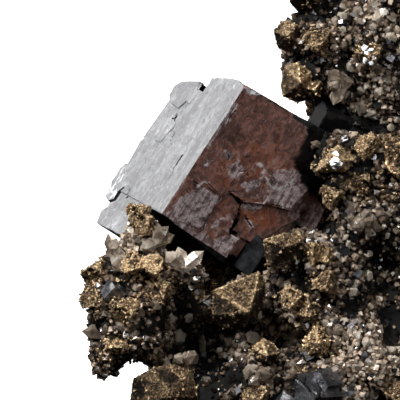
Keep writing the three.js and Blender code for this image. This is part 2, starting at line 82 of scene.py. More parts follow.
def to_slab(points):
    return (np.asarray(points, float) - SHIFT) @ TURN


def turned(directions):
    """Directions of the slab frame in the part's."""
    return np.asarray(directions, float) @ TURN.T


CAMERA_AT = to_world(np.array(VIEW_CENTRE) - [0, VIEW_DISTANCE, 0])
INTO = turned([0, 1, 0])  # from the camera into the rock


def pixels(points):
    """Where points of the part fall in the camera's frame."""
    slab = to_slab(points) - VIEW_CENTRE
    scale = VIEW_DISTANCE / (VIEW_DISTANCE + slab[..., 1]) / PX
    return np.stack([FRAME_PX / 2 + slab[..., 0] * scale, FRAME_PX / 2 - slab[..., 2] * scale], -1)


def ray(u, v):
    """The direction from the camera through a point of its frame."""
    across, up = (u - FRAME_PX / 2) * PX, (FRAME_PX / 2 - v) * PX
    way = turned([across, VIEW_DISTANCE, up])
    return way / np.linalg.norm(way)


camera = placed("camera", bpy.data.cameras.new("camera"))
bpy.context.scene.camera = camera
camera.data.sensor_width, camera.data.lens = SENSOR, SENSOR * VIEW_DISTANCE / VIEW_WIDTH
camera.data.clip_start, camera.data.clip_end = 0.05, 20
aim(camera, Vector(CAMERA_AT) * MM, INTO)

# ---------------------------------------------------------------- noise and masks

FAR = 99.0  # millimetres or pixels, more than any distance that counts
SPOT_EDGE = (0.55, 1.25)  # where an oval spot starts to fade and where it ends, by its half sizes
WORD = 0xFFFFFFFF
ODD = (374761393, 668265263, 1442695041, 1274126177)  # odd multipliers that scatter neighbouring cells


def hashed(*cell_and_seed):
    """A number from 0 to 1 for each cell: its x, y and z and a seed."""
    mixed = sum(value * odd for value, odd in zip(cell_and_seed, ODD)) & WORD
    mixed = ((mixed ^ (mixed >> 13)) * ODD[3]) & WORD
    return (mixed ^ (mixed >> 16)) / (WORD + 1)


def noise(points, scale, seed=0):
    """Smooth noise from -1 to 1. The scale is the size of its lumps."""
    cell, part = np.divmod(np.asarray(points) / scale, 1)
    cell = cell.astype(np.int64)
    part = part * part * (3 - 2 * part)
    total = 0
    for corner in np.ndindex(2, 2, 2):
        share = np.prod(np.where(corner, part, 1 - part), axis=-1)
        total = total + share * hashed(*(cell + corner).T, seed)
    return 2 * total - 1


def layered(points, scale, seed=0, octaves=3):
    """Noise with finer noise on it, each octave at half the size and strength."""
    return sum(noise(points, scale / 2**i, seed + i) / 2**i for i in range(octaves))


def grains_height(points, scale, seed=0):
    """Round granules packed side by side: 1 at the middle of each, 0 between them."""
    where = np.asarray(points) / scale
    cell = np.floor(where).astype(np.int64)
    nearest = np.full(len(where), 9.0)
    for step in np.ndindex(3, 3, 3):
        near = cell + step - 1
        centre = near + np.stack([hashed(*near.T, seed + k) for k in range(3)], -1)
        nearest = np.minimum(nearest, np.sum((where - centre) ** 2, -1))
    return np.clip(1 - np.sqrt(nearest) / 0.9, 0, 1)


def smooth(low, high, value):
    """0 up to low, 1 from high, and a soft rise between them."""
    share = np.clip((value - low) / (high - low), 0, 1)
    return share * share * (3 - 2 * share)


def to_stretch(points, a, b):
    """Distance from points to the straight stretch between two others."""
    along = np.clip((points - a) @ (b - a) / max((b - a) @ (b - a), 1e-9), 0, 1)
    return np.linalg.norm(points - a - along[:, None] * (b - a), axis=1)


def to_lines(points, lines):
    """Distance from flat points to the nearest of some broken lines."""
    nearest = np.full(len(points), FAR)
    for line in lines:
        for a, b in zip(line[:-1], line[1:]):
            nearest = np.minimum(nearest, to_stretch(points, a, b))
    return nearest


def patches(points, outlines, softness):
    """A soft mask of the insides of some outlines, each with its weight."""
    total = np.zeros(len(points))
    for weight, outline in outlines:
        ring = closed(outline)
        inside = np.zeros(len(points), bool)
        for a, b in zip(ring[:-1], ring[1:]):
            across = (a[1] > points[:, 1]) != (b[1] > points[:, 1])
            level = a[0] + (points[:, 1] - a[1]) * (b[0] - a[0]) / (b[1] - a[1] + 1e-9)
            inside ^= across & (points[:, 0] < level)
        away = to_lines(points, [ring])
        total = np.maximum(total, weight * smooth(-softness, softness, np.where(inside, away, -away)))
    return total


def closed(outline):
    return np.array([*outline, outline[0]], float)


def spots(points, places):
    """A soft mask of oval spots: middle, half sizes, weight if it isn't 1, and turn in degrees if there is one."""
    total = np.zeros(len(points))
    for place in places:
        u, v, ru, rv, weight, turn = (*place, *(1, 0)[len(place) - 4 :])
        away = points - (u, v)
        c, s = math.cos(math.radians(turn)), math.sin(math.radians(turn))
        flat = np.stack([away[:, 0] * c + away[:, 1] * s, -away[:, 0] * s + away[:, 1] * c], -1) / (ru, rv)
        total = np.maximum(total, weight * (1 - smooth(*SPOT_EDGE, np.linalg.norm(flat, axis=1))))
    return total


# ---------------------------------------------------------------- meshes

SAME_CORNER = 0.002  # corners of the CAD meshes closer than this are one
ON_THE_CUT = 0.02  # corners this near a cutting plane lie on it


def read(elements, name, width=3):
    """A vector of each of a mesh's vertices or faces or, at width 1, a whole number of each."""
    flat = np.empty(len(elements) * width, float if width == 3 else np.int32)
    elements.foreach_get(name, flat)
    return flat.reshape(-1, 3) if width == 3 else flat


def corners_of(mesh):
    """Vertex places in millimetres."""
    return read(mesh.vertices, "co") / MM


def normals_of(mesh):
    return read(mesh.vertices, "normal")


def move_corners(mesh, places):
    mesh.vertices.foreach_set("co", (np.asarray(places) * MM).ravel())
    mesh.update()


def swell(mesh, height):
    """Moves each corner along its normal, but none below the floor, and gives their new places."""
    places = corners_of(mesh) + normals_of(mesh) * height[:, None]
    places[:, 2] = np.maximum(places[:, 2], 0)
    move_corners(mesh, places)
    return places


def opened(mesh):
    work = bmesh.new()
    work.from_mesh(mesh)
    return work


def shut(work, name):
    mesh = bpy.data.meshes.new(name)
    work.to_mesh(mesh)
    work.free()
    return mesh


def welded(node):
    """A copy of a CAD node's mesh with each corner held once."""
    work = opened(NODES[node].data)
    bmesh.ops.remove_doubles(work, verts=work.verts, dist=SAME_CORNER * MM)
    return shut(work, node + "_copy")


def remeshed(mesh, voxel):
    """The mesh in even small squares."""
    holder = placed("holder", mesh)
    change = holder.modifiers.new("remesh", "REMESH")
    change.mode, change.voxel_size = "VOXEL", voxel * MM
    seen = holder.evaluated_get(bpy.context.evaluated_depsgraph_get())
    made = bpy.data.meshes.new_from_object(seen)
    bpy.data.objects.remove(holder)
    return made


def cut_into_squares(mesh, axes, spacing):
    """Cuts a mesh by evenly spaced planes across each axis, so that its flat faces can carry relief."""
    work = opened(mesh)
    bmesh.ops.recalc_face_normals(work, faces=work.faces)
    for axis in axes:
        reach = [v.co.dot(axis) for v in work.verts]
        place = min(reach) + spacing
        while place < max(reach):
            whole = work.verts[:] + work.edges[:] + work.faces[:]
            bmesh.ops.bisect_plane(work, geom=whole, plane_co=axis * place, plane_no=axis, dist=ON_THE_CUT * MM)
            place += spacing
    return work


def in_triangles(work):
    """Splits the faces of more than four sides."""
    bmesh.ops.triangulate(work, faces=[f for f in work.faces if len(f.verts) > 4])


def crisp(node, spacing):
    """The node's flat faces cut into squares along the slab's axes."""
    work = cut_into_squares(welded(node), [Vector(turned(axis)) for axis in np.eye(3)], spacing * MM)
    in_triangles(work)
    return shut(work, node + "_grown")


def tree_of(mesh):
    """A search tree over the mesh, in millimetres."""
    return BVHTree.FromPolygons(corners_of(mesh).tolist(), [p.vertices[:] for p in mesh.polygons])


def paint(mesh, name, values, domain="POINT"):
    """Keeps a number per vertex, or per face corner, for the mesh's material to read."""
    layer = mesh.attributes.new(name, "FLOAT", domain)
    layer.data.foreach_set("value", (np.zeros(len(layer.data)) + values).astype(np.float32))


def add_piece(name, mesh, material, nodes=(), smooth_shaded=False):
    mesh.name = name
    mesh.materials.clear()
    mesh.materials.append(material)
    mesh.polygons.foreach_set("use_smooth", [smooth_shaded] * len(mesh.polygons))
    piece = placed(name, mesh)
    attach(piece, "root")
    if nodes:
        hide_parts(*nodes)


def nodes_of(species):
    return sorted(name for name in NODES if name.startswith(species + "_"))


# ---------------------------------------------------------------- materials


class Shader:
    """The nodes of a material or a world, added one by one. A node's input takes a socket or a plain value."""

    def __init__(self, holder):
        holder.use_nodes = True
        self.holder, self.tree = holder, holder.node_tree

    def feed(self, node, inputs):
        for key, value in inputs.items():
            socket = node.inputs[key.replace("_", " ") if isinstance(key, str) else key]
            if isinstance(value, bpy.types.NodeSocket):
                self.tree.links.new(value, socket)
            else:
                socket.default_value = (*value, 1) if socket.type == "RGBA" else value

    def add(self, kind, out=0, inputs=(), **settings):
        """A node of the kind. Gives one of its outputs."""
        node = self.tree.nodes.new("ShaderNode" + kind)
        for key, value in settings.items():
            setattr(node, key, value)
        self.feed(node, dict(inputs))
        return node.outputs[out]

    def finish(self, surface="Principled BSDF", **inputs):
        self.feed(self.tree.nodes[surface], inputs)
        return self.holder

    def place(self):
        return self.add("TexCoord", "Object")

    def number(self, name):
        return self.add("Attribute", "Fac", attribute_name=name)

    def grown(self, *stretch):
        """Places in the frame of the large cube, painted on the mesh, drawn out along its axes."""
        along = self.add("Attribute", "Vector", attribute_name="grown")
        return self.add("Mapping", inputs={"Vector": along, "Scale": stretch})

    def noise(self, size, detail=3, vector=None, distortion=0):
        """Noise from 0 to 1 whose lumps are about `size` millimetres."""
        inputs = {"Vector": vector or self.place(), "Scale": 1 / (size * MM), "Detail": detail}
        return self.add("TexNoise", inputs={**inputs, "Roughness": 0.6, "Distortion": distortion})

    def cells(self, size):
        """Granules: the distance from each one's middle, and a number of its own."""
        apart = self.add("TexVoronoi", "Distance", {"Vector": self.place(), "Scale": 1 / (size * MM)})
        return apart, self.add("SeparateColor", inputs={"Color": apart.node.outputs["Color"]})

    def math(self, operation, *values):
        return self.add("Math", inputs=enumerate(values), operation=operation)

    def times(self, first, second):
        return self.math("MULTIPLY", first, second)

    def rest(self, value):
        return self.math("SUBTRACT", 1.0, value)

    def sum(self, *terms):
        """The sum of some values, each given with its weight."""
        total = 0.0
        for value, weight in terms:
            total = self.math("MULTIPLY_ADD", value, weight, total)
        return total

    def between(self, low, high, value, top=1.0):
        """0 below low, top above high."""
        inputs = {"Value": value, "From Min": low, "From Max": high, "To Max": top}
        return self.add("MapRange", inputs=inputs, interpolation_type="SMOOTHSTEP")

    def contour(self, value, width):
        """Thin lines where a noise crosses its middle."""
        away = self.math("ABSOLUTE", self.math("SUBTRACT", value, 0.5))
        return self.rest(self.between(width * 0.4, width, away))

    def mix(self, share, first, second):
        """A colour between two colours."""
        return self.add("Mix", 2, {0: share, 6: first, 7: second}, data_type="RGBA")

    def blend(self, share, first, second):
        """A number between two numbers."""
        return self.add("Mix", 0, {0: share, 2: first, 3: second})

    def over(self, colour, *layers):
        """A colour with others laid over it, each through its own mask."""
        for mask, above in layers:
            colour = self.mix(mask, colour, above)
        return colour

    def bump(self, height, depth, strength, **below):
        return self.add("Bump", inputs={"Height": height, "Distance": depth * MM, "Strength": strength, **below})


def new_material(name):
    return Shader(bpy.data.materials.new(name))


def galena_material():
    """Bright lead grey where it's clean, red-brown where it is tarnished, near black where shade is painted, white
    where a highlight is painted on flakes. The masks are painted on the mesh.
    """
    s = new_material("galena_tarnished")
    tarnish, grey, orange, dark, crack, flake_highlight, tone, stroke = (
        s.number(name) for name in ("tarnish", "grey", "orange", "dark", "crack", "flake_highlight", "tone", "stroke")
    )
    cloud, mottle, fine = s.noise(5, 3), s.noise(1.1, 4, distortion=0.3), s.noise(0.28, 3)
    streak, level = s.noise(0.5, 3, s.grown(1, 0.09, 1)), s.noise(0.6, 3, s.grown(0.1, 1, 0.1))
    smear, shard = s.noise(2.6, 5, s.grown(1, 0.5, 1), 1.6), s.noise(1.3, 3, s.grown(1, 0.4, 1), 1)

    silver = s.over(
        s.mix(tone, (0.27, 0.27, 0.28), (0.43, 0.43, 0.437)),
        (s.between(0.45, 0.65, cloud, 0.5), (0.28, 0.28, 0.287)),
        (s.between(0.56, 0.68, streak, 0.4), (0.22, 0.22, 0.232)),
        (s.between(0.60, 0.70, s.rest(streak), 0.4), (0.55, 0.55, 0.56)),
        (s.between(0.50, 0.60, smear, 0.6), (0.25, 0.25, 0.26)),
        (s.between(0.56, 0.66, s.rest(smear), 0.6), (0.50, 0.50, 0.505)),
        (s.between(0.56, 0.66, mottle), (0.25, 0.25, 0.26)),
        (s.between(0.58, 0.70, s.rest(mottle)), (0.50, 0.50, 0.51)),
        (s.between(0.63, 0.68, fine), (0.15, 0.15, 0.165)),
        (s.between(0.61, 0.69, level, 0.5), (0.18, 0.18, 0.19)),
        # flakes: a painted highlight, with dark outlines
        (flake_highlight, s.mix(s.between(0.46, 0.56, shard), (0.33, 0.33, 0.345), (0.76, 0.76, 0.78))),
        (s.times(flake_highlight, s.contour(shard, 0.016)), (0.07, 0.07, 0.08)),
    )

    haze = s.between(0.50, 0.60, s.noise(1.7, 5, s.grown(1, 0.6, 1), 0.9))
    broken = s.sum((mottle, 0.6), (streak, 0.4))
    patchy = s.between(0.64, 0.86, s.sum((grey, 0.7), (broken, 0.62)))
    lead_grain = s.between(0.43, 0.57, s.sum((fine, 0.25), (mottle, 0.45), (streak, 0.3)))
    scratch = s.times(s.between(0.60, 0.66, s.noise(0.33, 3, s.grown(1, 0.16, 1))), s.between(0.42, 0.6, cloud))
    cut = s.times(s.contour(s.noise(3.1, 4, distortion=0.6), 0.010), s.between(0.5, 0.6, s.noise(4.0, 2)))
    brown = s.over(
        s.mix(s.between(0.40, 0.60, cloud), (0.060, 0.029, 0.025), (0.105, 0.047, 0.037)),
        (s.between(0.46, 0.60, mottle), (0.195, 0.085, 0.062)),
        (s.times(haze, s.sum((orange, 0.9), (0.20, 1.0))), (0.30, 0.185, 0.165)),
        (s.between(0.54, 0.64, fine, 0.45), (0.034, 0.018, 0.017)),
        (s.between(0.56, 0.66, s.rest(fine), 0.35), (0.24, 0.155, 0.14)),
        (
            s.times(orange, s.between(0.36, 0.58, mottle)),
            s.mix(s.between(0.40, 0.60, fine), (0.12, 0.034, 0.016), (0.27, 0.082, 0.034)),
        ),
        (s.times(patchy, 0.92), s.mix(lead_grain, (0.155, 0.113, 0.115), (0.58, 0.485, 0.495))),
        (s.times(scratch, 0.6), (0.30, 0.25, 0.27)),
        (s.times(cut, 0.85), (0.012, 0.010, 0.012)),
        (s.times(stroke, s.between(0.38, 0.52, mottle)), (0.56, 0.52, 0.53)),
    )

    # the dark mask is painted shade, near black and mottled a little
    shade_mottle = s.sum((cloud, 0.6), (mottle, 0.2), (fine, 0.2))
    colour = s.over(
        s.mix(tarnish, silver, brown),
        (dark, s.mix(s.between(0.40, 0.60, shade_mottle), (0.0025, 0.0025, 0.003), (0.013, 0.0135, 0.0145))),
        (crack, (0.004, 0.004, 0.006)),
    )
    metal = s.blend(dark, s.blend(tarnish, 0.2, s.blend(patchy, 0.12, 0.55)), 1.0)
    rough = s.blend(dark, s.blend(tarnish, s.blend(mottle, 0.50, 0.62), s.blend(mottle, 0.40, 0.60)), 0.5)
    relief = s.bump(s.sum((mottle, 0.6), (streak, 0.25)), 0.05, 0.7)
    normal = s.bump(fine, 0.05, 0.5, Normal=relief)
    return s.finish(Base_Color=colour, Metallic=metal, Roughness=rough, Normal=normal, Specular_IOR_Level=0.35)


def dark_galena_material():
    """The small galena cubes: lead grey, with white painted highlights on a few cleavages."""
    s = new_material("galena_lead_grey")
    mottle, fine = s.noise(1.6, 4, distortion=0.8), s.noise(0.3, 3)
    flake_highlight = s.number("flake_highlight")
    colour = s.over(
        s.mix(s.between(0.35, 0.7, mottle), (0.12, 0.12, 0.13), (0.27, 0.27, 0.285)),
        (s.contour(s.noise(2.6, 2, distortion=0.4), 0.014), (0.012, 0.012, 0.014)),
        (s.between(0.58, 0.66, fine), (0.05, 0.05, 0.055)),
        (s.number("dark"), (0.014, 0.014, 0.016)),
        # a painted highlight, white with dark specks
        (flake_highlight, (0.86, 0.86, 0.88)),
        (s.times(flake_highlight, s.between(0.53, 0.57, s.noise(0.5, 3, distortion=0.8))), (0.02, 0.02, 0.025)),
    )
    normal = s.bump(s.sum((mottle, 1.0), (fine, 0.4)), 0.05, 0.8)
    metal, rough = s.blend(flake_highlight, 0.9, 0.35), s.blend(fine, 0.22, 0.5)
    return s.finish(Base_Color=colour, Metallic=metal, Roughness=rough, Normal=normal)


def chalcopyrite_material(name, of_grain):
    """Brass under a brown tarnish, granule by granule, brighter along the rims, with a painted highlight on rims that
    face the key light, and dark in the hollows, with painted shade on faces turned down and on faces that lie in shade.
    """
    s = new_material(name)
    mottle, fine = s.noise(0.9, 4), s.noise(0.2, 3)
    apart, own = s.cells(0.34)
    even = s.number("even")
    if of_grain:
        # tint: darker towards each chip's foot, painted shade
        tone = s.sum((s.add("NewGeometry", "Random Per Island"), 0.55), (s.number("tint"), 0.30), (own, 0.2))
    else:
        grain = s.sum((own, 0.5), (mottle, 0.22), (fine, 0.46), (-0.09, 1.0))
        grain = s.blend(s.times(even, 0.6), grain, 0.52)
        # rims and their painted highlight brighten; pits and painted shade darken
        tone = s.sum((grain, 1.0), (s.number("rim_and_highlight"), 0.3), (s.number("pit_and_shade"), -0.5))
    colour = s.over(
        s.mix(s.between(0.15, 0.5, tone), (0.014, 0.010, 0.007), (0.085, 0.057, 0.032)),
        (s.between(0.44, 0.70, tone), (0.30, 0.208, 0.12)),
        (s.between(0.74, 1.0, tone), (0.78, 0.58, 0.35)),
    )
    relief = s.sum((apart, -0.7), (mottle, 0.4), (fine, 0.6))
    normal = s.bump(relief, 0.28, s.sum((even, -0.65), (1.0, 1.0)))
    return s.finish(Base_Color=colour, Metallic=0.85, Roughness=s.blend(fine, 0.22, 0.5), Normal=normal)


def quartz_material(name, pale, deep, clear):
    """Quartz, see-through and a little cloudy. Each grain has its own tint, from smoky over deep to pale, which on the
    druse grains also holds painted shade towards their feet and in the hollows.
    """
    s = new_material(name)
    cloud, fine = s.noise(0.8, 3), s.noise(0.2, 2)
    tint = s.sum((cloud, 0.5), (s.number("tint"), 1.0), (-0.25, 1.0))
    colour = s.over(
        s.mix(s.between(0.02, 0.45, tint), (0.010, 0.008, 0.007), deep),
        (s.between(0.4, 0.95, tint), pale),
    )
    normal = s.bump(s.sum((cloud, 1.0), (fine, 0.3)), 0.08, 0.6)
    looks = {"Base_Color": colour, "Roughness": s.blend(cloud, 0.03, 0.22), "Normal": normal}
    return s.finish(**looks, Metallic=0.0, IOR=1.544, Transmission_Weight=clear)


def rock_material():
    """Dark sulphide between the grains, near black where painted shade darkens the hollows, and cloudy quartz where the
    druse over it is pale.
    """
    s = new_material("rock_sulphide")
    cloud, mottle, fine = s.noise(6, 3), s.noise(0.9, 4), s.noise(0.2, 3)
    colour = s.over(
        s.mix(s.between(0.35, 0.7, mottle), (0.006, 0.0055, 0.005), (0.026, 0.020, 0.015)),
        (s.between(0.5, 0.75, cloud), (0.045, 0.035, 0.026)),
        (s.between(0.66, 0.74, fine), (0.12, 0.09, 0.055)),
        (s.times(s.number("pale"), s.between(0.3, 0.65, mottle)), (0.17, 0.125, 0.09)),
        # painted shade in the hollows
        (s.number("dark"), (0.002, 0.002, 0.002)),
    )
    normal = s.bump(s.sum((mottle, 1.0), (fine, 0.5)), 0.3, 1.0)
    looks = {"Base_Color": colour, "Roughness": s.blend(mottle, 0.45, 0.85), "Normal": normal}
    return s.finish(**looks, Metallic=0.0, Specular_IOR_Level=0.15)


GALENA = galena_material()
LEAD = dark_galena_material()
BRASS = chalcopyrite_material("chalcopyrite_brass", False)
CRUST = chalcopyrite_material("chalcopyrite_crust", True)
QUARTZ = quartz_material("quartz_smoky", (0.77, 0.61, 0.465), (0.175, 0.122, 0.085), 0.35)
CLEAR = quartz_material("quartz_clear", (0.86, 0.75, 0.62), (0.26, 0.20, 0.15), 0.55)
ROCK = rock_material()

# ---------------------------------------------------------------- the large galena cube

CUBE_TILT, CUBE_TURN = math.radians(57), math.radians(25)
CUBE_CORNER = np.array([-9.2, -8, 74.4])
DOWN = np.array([-math.cos(CUBE_TILT), 0, -math.sin(CUBE_TILT)])
LEVEL = np.array([math.sin(CUBE_TILT), 0, -math.cos(CUBE_TILT)])
ACROSS = LEVEL * math.cos(CUBE_TURN) + np.array([0, math.sin(CUBE_TURN), 0])
CUBE_AXES = np.stack([ACROSS, DOWN, np.cross(ACROSS, DOWN)])
CUBE_GRID = 0.6  # spacing of the squares that the cube's faces are cut into
FINE_BAND = 0.4  # how far from a crack the squares are cut finer
CUBE_EDGE, CRYSTAL_EDGE = 0.5, 0.3  # angles in radians from which an edge counts as sharp
FRONT, LEFT = ([0, 1], 2), ([2, 1], 0)  # two faces of the cube: its axes along the face, and the one across it

# By frame pixel: cracks in the front face, wide and fine, and pale scratches and ragged edges in its tarnish.
WIDE_CRACKS = [[(230, 193), (236, 198), (243, 204), (241, 210), (240, 217), (236, 224), (231, 232), (237, 236)]]
FINE_CRACKS = [
    [(204, 187), (213, 191), (221, 198), (207, 220)], [(221, 198), (231, 194)], [(207, 220), (204, 229), (194, 238)],
    [(243, 204), (256, 208), (266, 204), (278, 206), (296, 211)], [(296, 222), (300, 229), (317, 237)],
    [(239, 172), (245, 171), (249, 176)], [(244, 160), (248, 156)], [(246, 216), (250, 223), (254, 228)],
    [(301, 208), (304, 216)], [(228, 154), (230, 162)], [(235, 111), (230, 118), (227, 126)],
]  # fmt: skip
STROKES = [
    [(213, 227), (218, 222), (223, 218)], [(266, 178), (271, 186), (277, 190), (285, 186), (294, 180)],
    [(241, 209), (246, 203), (250, 206), (257, 208), (262, 205), (267, 199)], [(282, 202), (283, 209)],
    [(206, 165), (213, 158)], [(216, 247), (221, 242), (225, 244)], [(220, 260), (227, 251), (236, 243)],
    [(182, 227), (190, 218), (196, 215)], [(252, 222), (255, 228)], [(198, 187), (205, 181), (209, 183)],
    [(309, 124), (307, 137)], [(237, 105), (231, 115), (224, 126)], [(259, 163), (264, 170), (262, 176)],
    [(232, 236), (240, 240)],
]  # fmt: skip
# Fine lines and slits in the left face.
LEFT_LINES = [
    [(204, 81), (196, 96), (186, 112), (176, 128)], [(222, 85), (214, 98), (204, 116), (197, 125)],
    [(166, 196), (152, 206), (146, 213)], [(128, 205), (120, 216), (108, 232)], [(118, 222), (110, 234)],
    [(173, 170), (160, 193), (148, 208)],
]  # fmt: skip
LEFT_SLITS = [
    [(173.5, 168), (181.5, 156)], [(172.5, 119), (175, 114)], [(170.5, 139.5), (173.5, 133.5)],
    [(129, 188), (126, 195)],
]  # fmt: skip
# Outlines of patches of the front face, each after its weight: where the tarnish is grey, where shade is painted
# on it (and a dark strip along its top edge), and where a painted highlight takes the place of the tarnish.
GREY_PATCHES = [
    (0.88, [(169, 211), (178, 199), (196, 188), (206, 187), (221, 198), (207, 221), (206, 228), (199, 231),
        (190, 222), (182, 214)]),
    (0.7, [(214, 240), (226, 236), (240, 238), (226, 260), (221, 262), (212, 250)]),
    (0.67, [(275, 170), (292, 168), (308, 174), (312, 186), (302, 208), (293, 211), (275, 205), (264, 200),
        (270, 190), (264, 180)]),
    (0.88, [(240, 184), (252, 180), (263, 177), (259, 187), (247, 192)]),
    (0.8, [(225, 149), (235, 154), (231, 160), (221, 158)]),
    (0.88, [(243, 203), (262, 202), (269, 206), (262, 211), (246, 211)]),
    (0.8, [(246, 221), (252, 221), (257, 229), (252, 232)]),
    (0.51, [(208, 222), (222, 213), (238, 213), (233, 231), (216, 238)]),
    (0.66, [(162, 214), (169, 211), (182, 214), (190, 222), (199, 231), (206, 228), (212, 240), (212, 250),
        (221, 262), (190, 238)]),
    (0.7, [(226, 168), (238, 160), (246, 172), (240, 180), (230, 178)]),
    (0.47, [(218, 152), (250, 150), (282, 165), (270, 188), (230, 188), (214, 170)]),
    (0.47, [(283, 106), (306, 118), (309, 130), (298, 150), (285, 140)]),
    (0.53, [(246, 190), (262, 188), (280, 190), (286, 202), (262, 200), (250, 199)]),
    (0.8, [(228, 100), (235, 104), (222, 130), (209, 150), (205, 147), (215, 126)]),
    # painted light: this grey patch is also made lighter to offset the shade that falls there
    (0.62, [(288, 214), (296, 208), (304, 205), (318, 202), (336, 212), (326, 236), (312, 234), (298, 226)]),
]  # fmt: skip
DARK_PATCHES = [
    (0.97, [(312, 118), (307, 132), (301, 146), (294, 158), (293, 166), (300, 176), (305, 188), (322, 200),
        (338, 208), (352, 208), (350, 118)]),
    (0.9, [(258, 92), (266, 93), (292, 109), (289, 112), (274, 102), (262, 95)]),
]  # fmt: skip
BRIGHT_PATCHES = [(1, [(245, 88), (263, 94), (256, 95.5), (248, 93)]), (1, [(283, 106), (294, 111), (290, 112)])]
# Plates that stand out of the left face: outline, depth of the foot, height of the top.
LEFT_PLATES = [
    ([(126, 163), (119, 168), (116, 174), (110, 179), (107, 188), (105, 196), (108, 201), (114, 199), (118, 192),
        (124, 187), (123, 178)], 2, 0.16),
    ([(174, 86), (181, 81.5), (188, 81), (200, 81), (197, 88), (199, 93), (189, 104), (186, 101), (178, 108),
        (171, 103), (169, 95)], 1.2, 0.05),
    ([(215, 82), (228, 78.5), (239, 80), (242, 87), (230, 107), (224, 113), (214, 128), (209, 124), (211, 112),
        (207, 104)], 0.8, 0.05),
    ([(166, 118), (172, 116), (176, 124), (168, 133), (160, 142), (154, 140), (158, 126)], 0.8, 0.04),
    ([(101, 211), (106, 207), (113, 208), (136, 216), (131, 241.5), (124, 237.6), (114, 231.8),
        (96.5, 223)], 0.8, 0.07),
]  # fmt: skip
# Ovals for spots(): orange ones in the tarnish, dark ones that are partly dark tarnish and partly painted shade,
# and flakes of the left face that get a painted highlight.
ORANGE_SPOTS = [
    (258, 215, 20, 14, 1, 15), (243, 170, 28, 15, 0.8, 25), (262, 152, 22, 14, 0.6), (228, 178, 16, 10, 0.7, 20),
    (275, 170, 18, 12, 0.6), (208, 236, 10, 4, 0.8, 35), (224, 212, 9, 12, 0.5, 20),
]  # fmt: skip
DARK_SPOTS = [
    (231, 134, 18, 9, 0.35, 20), (205, 200, 4, 3, 0.3), (304, 213, 3, 5, 0.6, 15), (300, 230, 7, 3, 0.4, 30),
]  # fmt: skip
FLAKE_HIGHLIGHT_SPOTS = [
    (115, 182, 10, 17, 1, 25), (112, 195, 7, 8), (167, 130, 4, 7, 0.9, 15), (157, 131, 6, 3, 0.6),
    (238, 86, 6, 3, 0.7, 20), (112, 226, 3, 9, 0.6, 30), (222, 80, 8, 3, 0.4, 10), (246, 91, 4, 3),
]  # fmt: skip

# The smaller cubes that are one solid with the large one: middle in the slab frame, reach and how much painted shade
# they get.
LESSER_CUBES = [((-8, 5.6, 41.4), 9.5, 1.0), ((8.4, 4.6, 67.4), 9, 0.9)]
# The pits in the left face, which get painted shade, from just under it down, and the box of the cube's plain faces,
# in the cube's frame; faces outside it near the lesser cubes get painted shade too.
PITS = [
    ((0.2, 1.4, 15.6), (1.6, 5, 18.6)), ((0.15, 17.9, 6.8), (2.4, 21.7, 7.8)), ((0.15, 11.5, 20), (2.4, 13.5, 21)),
]  # fmt: skip
PLAIN_BOX = (-9, -0.3, -0.3), (26.3, 99, 28.4)
PIT_RIM = 0.25


def to_cube(points):
    """Into the cube's frame: x across the broad front face, y down the front edge, z into the crystal."""
    return (to_slab(points) - CUBE_CORNER) @ CUBE_AXES.T


def turned_to_cube(directions):
    return np.asarray(directions, float) @ TURN @ CUBE_AXES.T


def on_face(pixel_line, along, across):
    """Where the lines of sight through points of the frame meet a face of the cube."""
    start, ways = to_cube(CAMERA_AT), [turned_to_cube(ray(*pixel)) for pixel in pixel_line]
    return [(start - way * (start[across] / way[across]))[along] for way in ways]


def with_plates(mesh):
    """Adds the cleavage plates that stand out of the left face, each a closed slab with its foot in the cube."""
    work = opened(mesh)
    for ring, depth, out in LEFT_PLATES:
        flat = [(min(z, 29.2 - 0.38 * max(y - 30, 0)), y) for z, y in on_face(ring, *LEFT)]  # none past the back edge
        levels = []
        for x in (depth, -out):
            places = to_world(np.array([(x, y, z) for z, y in flat]) @ CUBE_AXES + CUBE_CORNER)
            levels.append([work.verts.new(Vector(place) * MM) for place in places])
        low, high = levels
        sides = [work.faces.new(four) for four in zip(low, low[1:] + low[:1], high[1:] + high[:1], high)]
        bmesh.ops.recalc_face_normals(work, faces=[*sides, work.faces.new(low), work.faces.new(high)])
    return shut(work, "galena_cube_plates")


def plates(flat, wide, long, seed):
    """A number from 0 to 1 for each of the oblong plates that a face is split into."""
    column = np.floor(flat[:, 0] / wide).astype(np.int64)
    row = np.floor(flat[:, 1] / long + hashed(column, column, column, seed)).astype(np.int64)
    return hashed(column, row, column, seed + 1)


def is_sharp(edge, angle):
    return len(edge.link_faces) == 2 and edge.calc_face_angle(0) > angle and edge.is_convex


def faced(places, normals):
    """Places and directions in the cube's frame, and masks of its front and left faces."""
    cube, facing = to_cube(places), turned_to_cube(normals)
    front = np.where((cube[:, 2] < 5) & (facing[:, 2] < -0.6), 1.0, 0.0)
    side = np.where((cube[:, 0] < 1.2) & (facing[:, 0] < -0.6), 1.0, 0.0)
    return cube, facing, front, side


def cube_in_squares(front_lines, left_lines):
    """The cube's faces in squares, finer along the lines, and a mask of the corners on its sharp edges."""
    axes = [Vector(turned(axis)) for axis in CUBE_AXES]
    work = cut_into_squares(with_plates(welded("galena_cube")), axes, CUBE_GRID * MM)
    work.normal_update()
    places, normals = np.array([v.co for v in work.verts]) / MM, np.array([v.normal for v in work.verts])
    cube, _, front, side = faced(places, normals)
    close = (to_lines(cube[:, :2], front_lines) < FINE_BAND) & (front > 0)
    close |= (to_lines(cube[:, [2, 1]], left_lines) < FINE_BAND) & (side > 0)
    edges = [e for e in work.edges if close[e.verts[0].index] and close[e.verts[1].index]]
    bmesh.ops.subdivide_edges(work, edges=edges, cuts=3, use_grid_fill=True)
    in_triangles(work)
    sharp = np.zeros(len(work.verts))
    work.verts.index_update()
    for edge in work.edges:
        if is_sharp(edge, CUBE_EDGE):
            sharp[[v.index for v in edge.verts]] = 1
    return shut(work, "galena_cube_squares"), sharp


